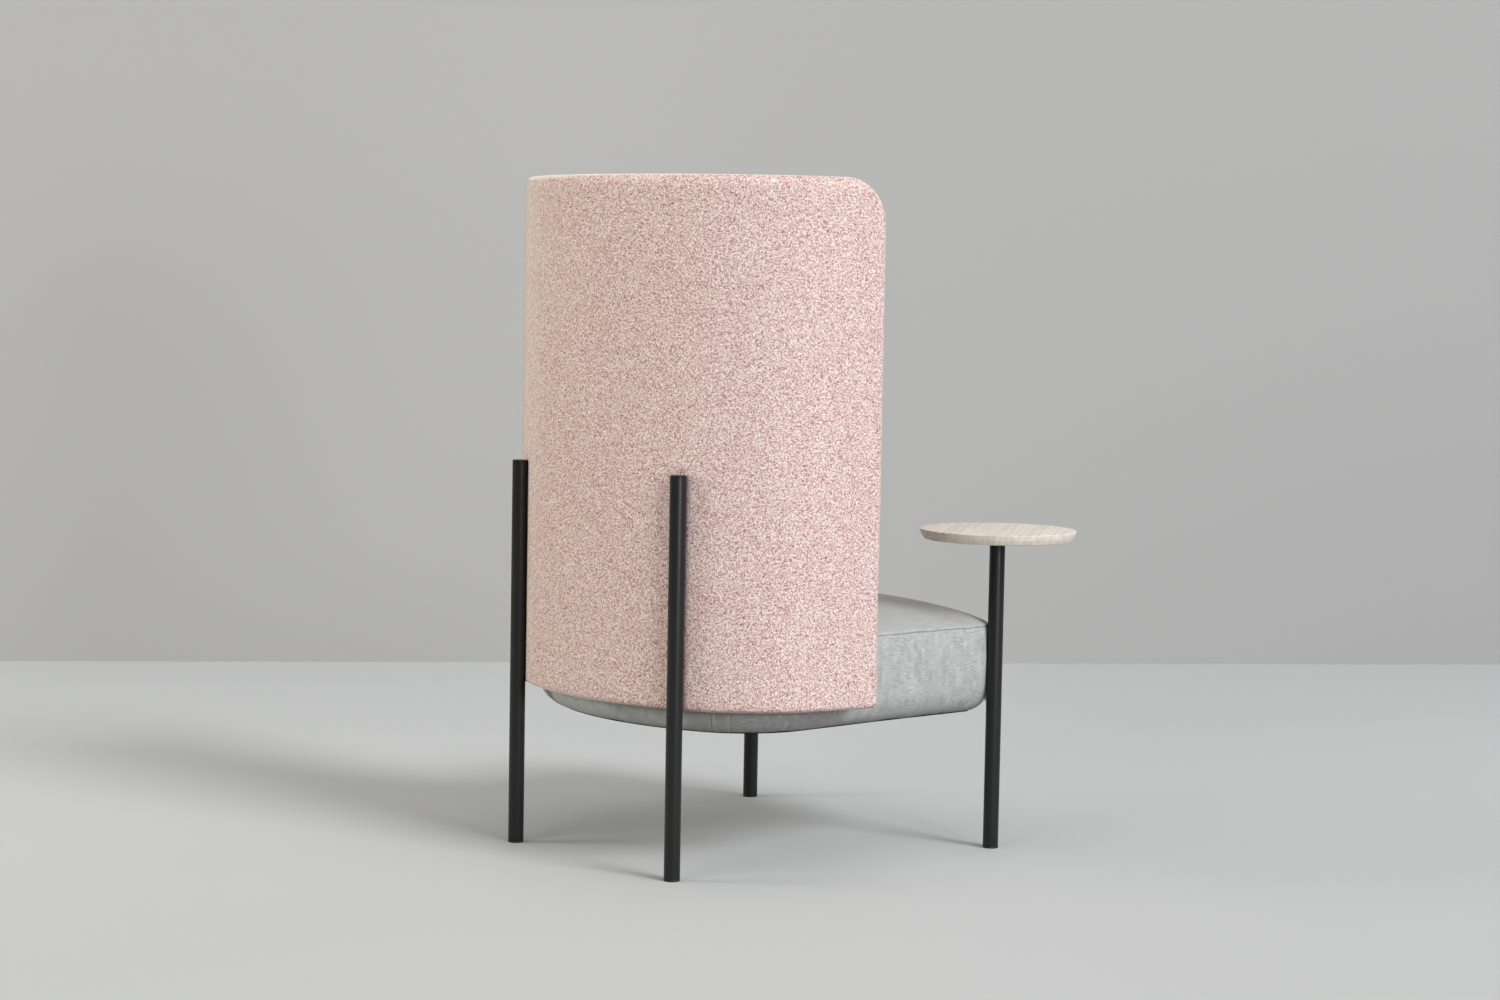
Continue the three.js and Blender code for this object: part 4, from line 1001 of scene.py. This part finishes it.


# Painted shade on the stage: the floor darkens towards the left, the far right and the camera, and the
# wall towards the left, standing in for the lamps' fall-off.
floor_painted_shade = [
    (rightward, [(-1.6, 0.91), (-0.2, 0.99), (0.6, 0.98), (1.2, 0.95)]),
    (toward_camera, [(-2.5, 1.0), (-0.8, 1.0), (0.5, 0.92), (1.5, 0.88)]),
]
wall_painted_shade = [(rightward, [(-2.2, 0.83), (-0.2, 0.98), (2.2, 1.0)])]
floor_paint = stage_paint("pale_floor", 0.75, shade(202, 204, 204), shade(100, 101, 101), floor_painted_shade)
wall_paint = stage_paint("grey_wall", 0.9, shade(178, 178, 178), shade(140, 140, 140), wall_painted_shade)
wall_run = Vector((2197, 3173, 0)).normalized()
wall_middle = leg_middle + Vector((1.826, -2.068, 0))
wall_out = Vector((-wall_run.y, wall_run.x, 0))
left_end, right_end = wall_middle - wall_run * 14, wall_middle + wall_run * 14
depth, rise = wall_out * 18, Vector((0, 0, 9))
stage_sheet("studio_floor", [left_end, left_end + depth, right_end + depth, right_end], floor_paint)
stage_sheet("studio_wall", [left_end, right_end, right_end + rise, left_end + rise], wall_paint)

level_up = rightward.cross(forward)
right = rightward * math.cos(roll) + level_up * math.sin(roll)
up = level_up * math.cos(roll) - rightward * math.sin(roll)
camera_data = bpy.data.cameras.new("camera")
camera_data.lens = 74.2626
camera_data.sensor_width = 36
camera = new_object("camera", camera_data)
camera.matrix_world = Matrix((right, up, -forward)).transposed().to_4x4()
camera.location = leg_middle + Vector((-4.211323, 3.3609415, 1.05668))
bpy.context.scene.camera = camera

sun_turn, sun_height = math.radians(41), math.radians(35.5)
sun_from = rightward * math.cos(sun_turn) + toward_camera * math.sin(sun_turn)
sun_from += Vector((0, 0, math.tan(sun_height)))
sun_data = bpy.data.lights.new("key", "SUN")
sun_data.energy = 2.02
sun_data.angle = math.radians(20)
sun_data.color = (0.97, 0.98, 1.02)
new_object("key", sun_data).rotation_euler = (-sun_from).to_track_quat("-Z", "Y").to_euler()

# Each lamp: shares of the ways to the right, to the camera and up; metres away and across; watts
target = leg_middle + Vector((0, -0.33, 0.6))
white = (1, 1, 1)
for name, ways, distance, size, power, colour, shines in (
    ("left_fill", (-1, 0.1, 0.15), 5.0, 1.8, 122, (1, 0.98, 0.88), False),
    ("front_fill", (-0.6, 0.8, 0.3), 5.5, 2.8, 58, (1, 0.97, 0.87), False),
    ("near_fill", (0.5, 0.87, 0.14), 5.0, 1.2, 62, white, True),
    ("right_fill", (0.9, 0.3, 0.3), 5.0, 3.0, 40, white, False),
    ("far_fill", (0.7, -0.7, 0.6), 4.5, 3.0, 28, white, True),
    ("top_fill", (0, 0.3, 0.95), 4.5, 4.0, 27, white, True),
):
    lamp_data = bpy.data.lights.new(name, "AREA")
    lamp_data.shape = "DISK"
    lamp_data.size = size
    lamp_data.energy = power
    lamp_data.color = colour
    way = rightward * ways[0] + toward_camera * ways[1] + Vector((0, 0, ways[2]))
    lamp = new_object(name, lamp_data)
    lamp.location = target + way.normalized() * distance
    lamp.rotation_euler = (target - lamp.location).to_track_quat("-Z", "Y").to_euler()
    lamp.visible_glossy = shines

world = bpy.data.worlds.new("studio")
world.use_nodes = True
world.node_tree.nodes["Background"].inputs["Color"].default_value = (1, 0.97, 0.93, 1)
world.node_tree.nodes["Background"].inputs["Strength"].default_value = 0.29
bpy.context.scene.world = world
bpy.context.scene.view_settings.view_transform = "Standard"

low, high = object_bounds()
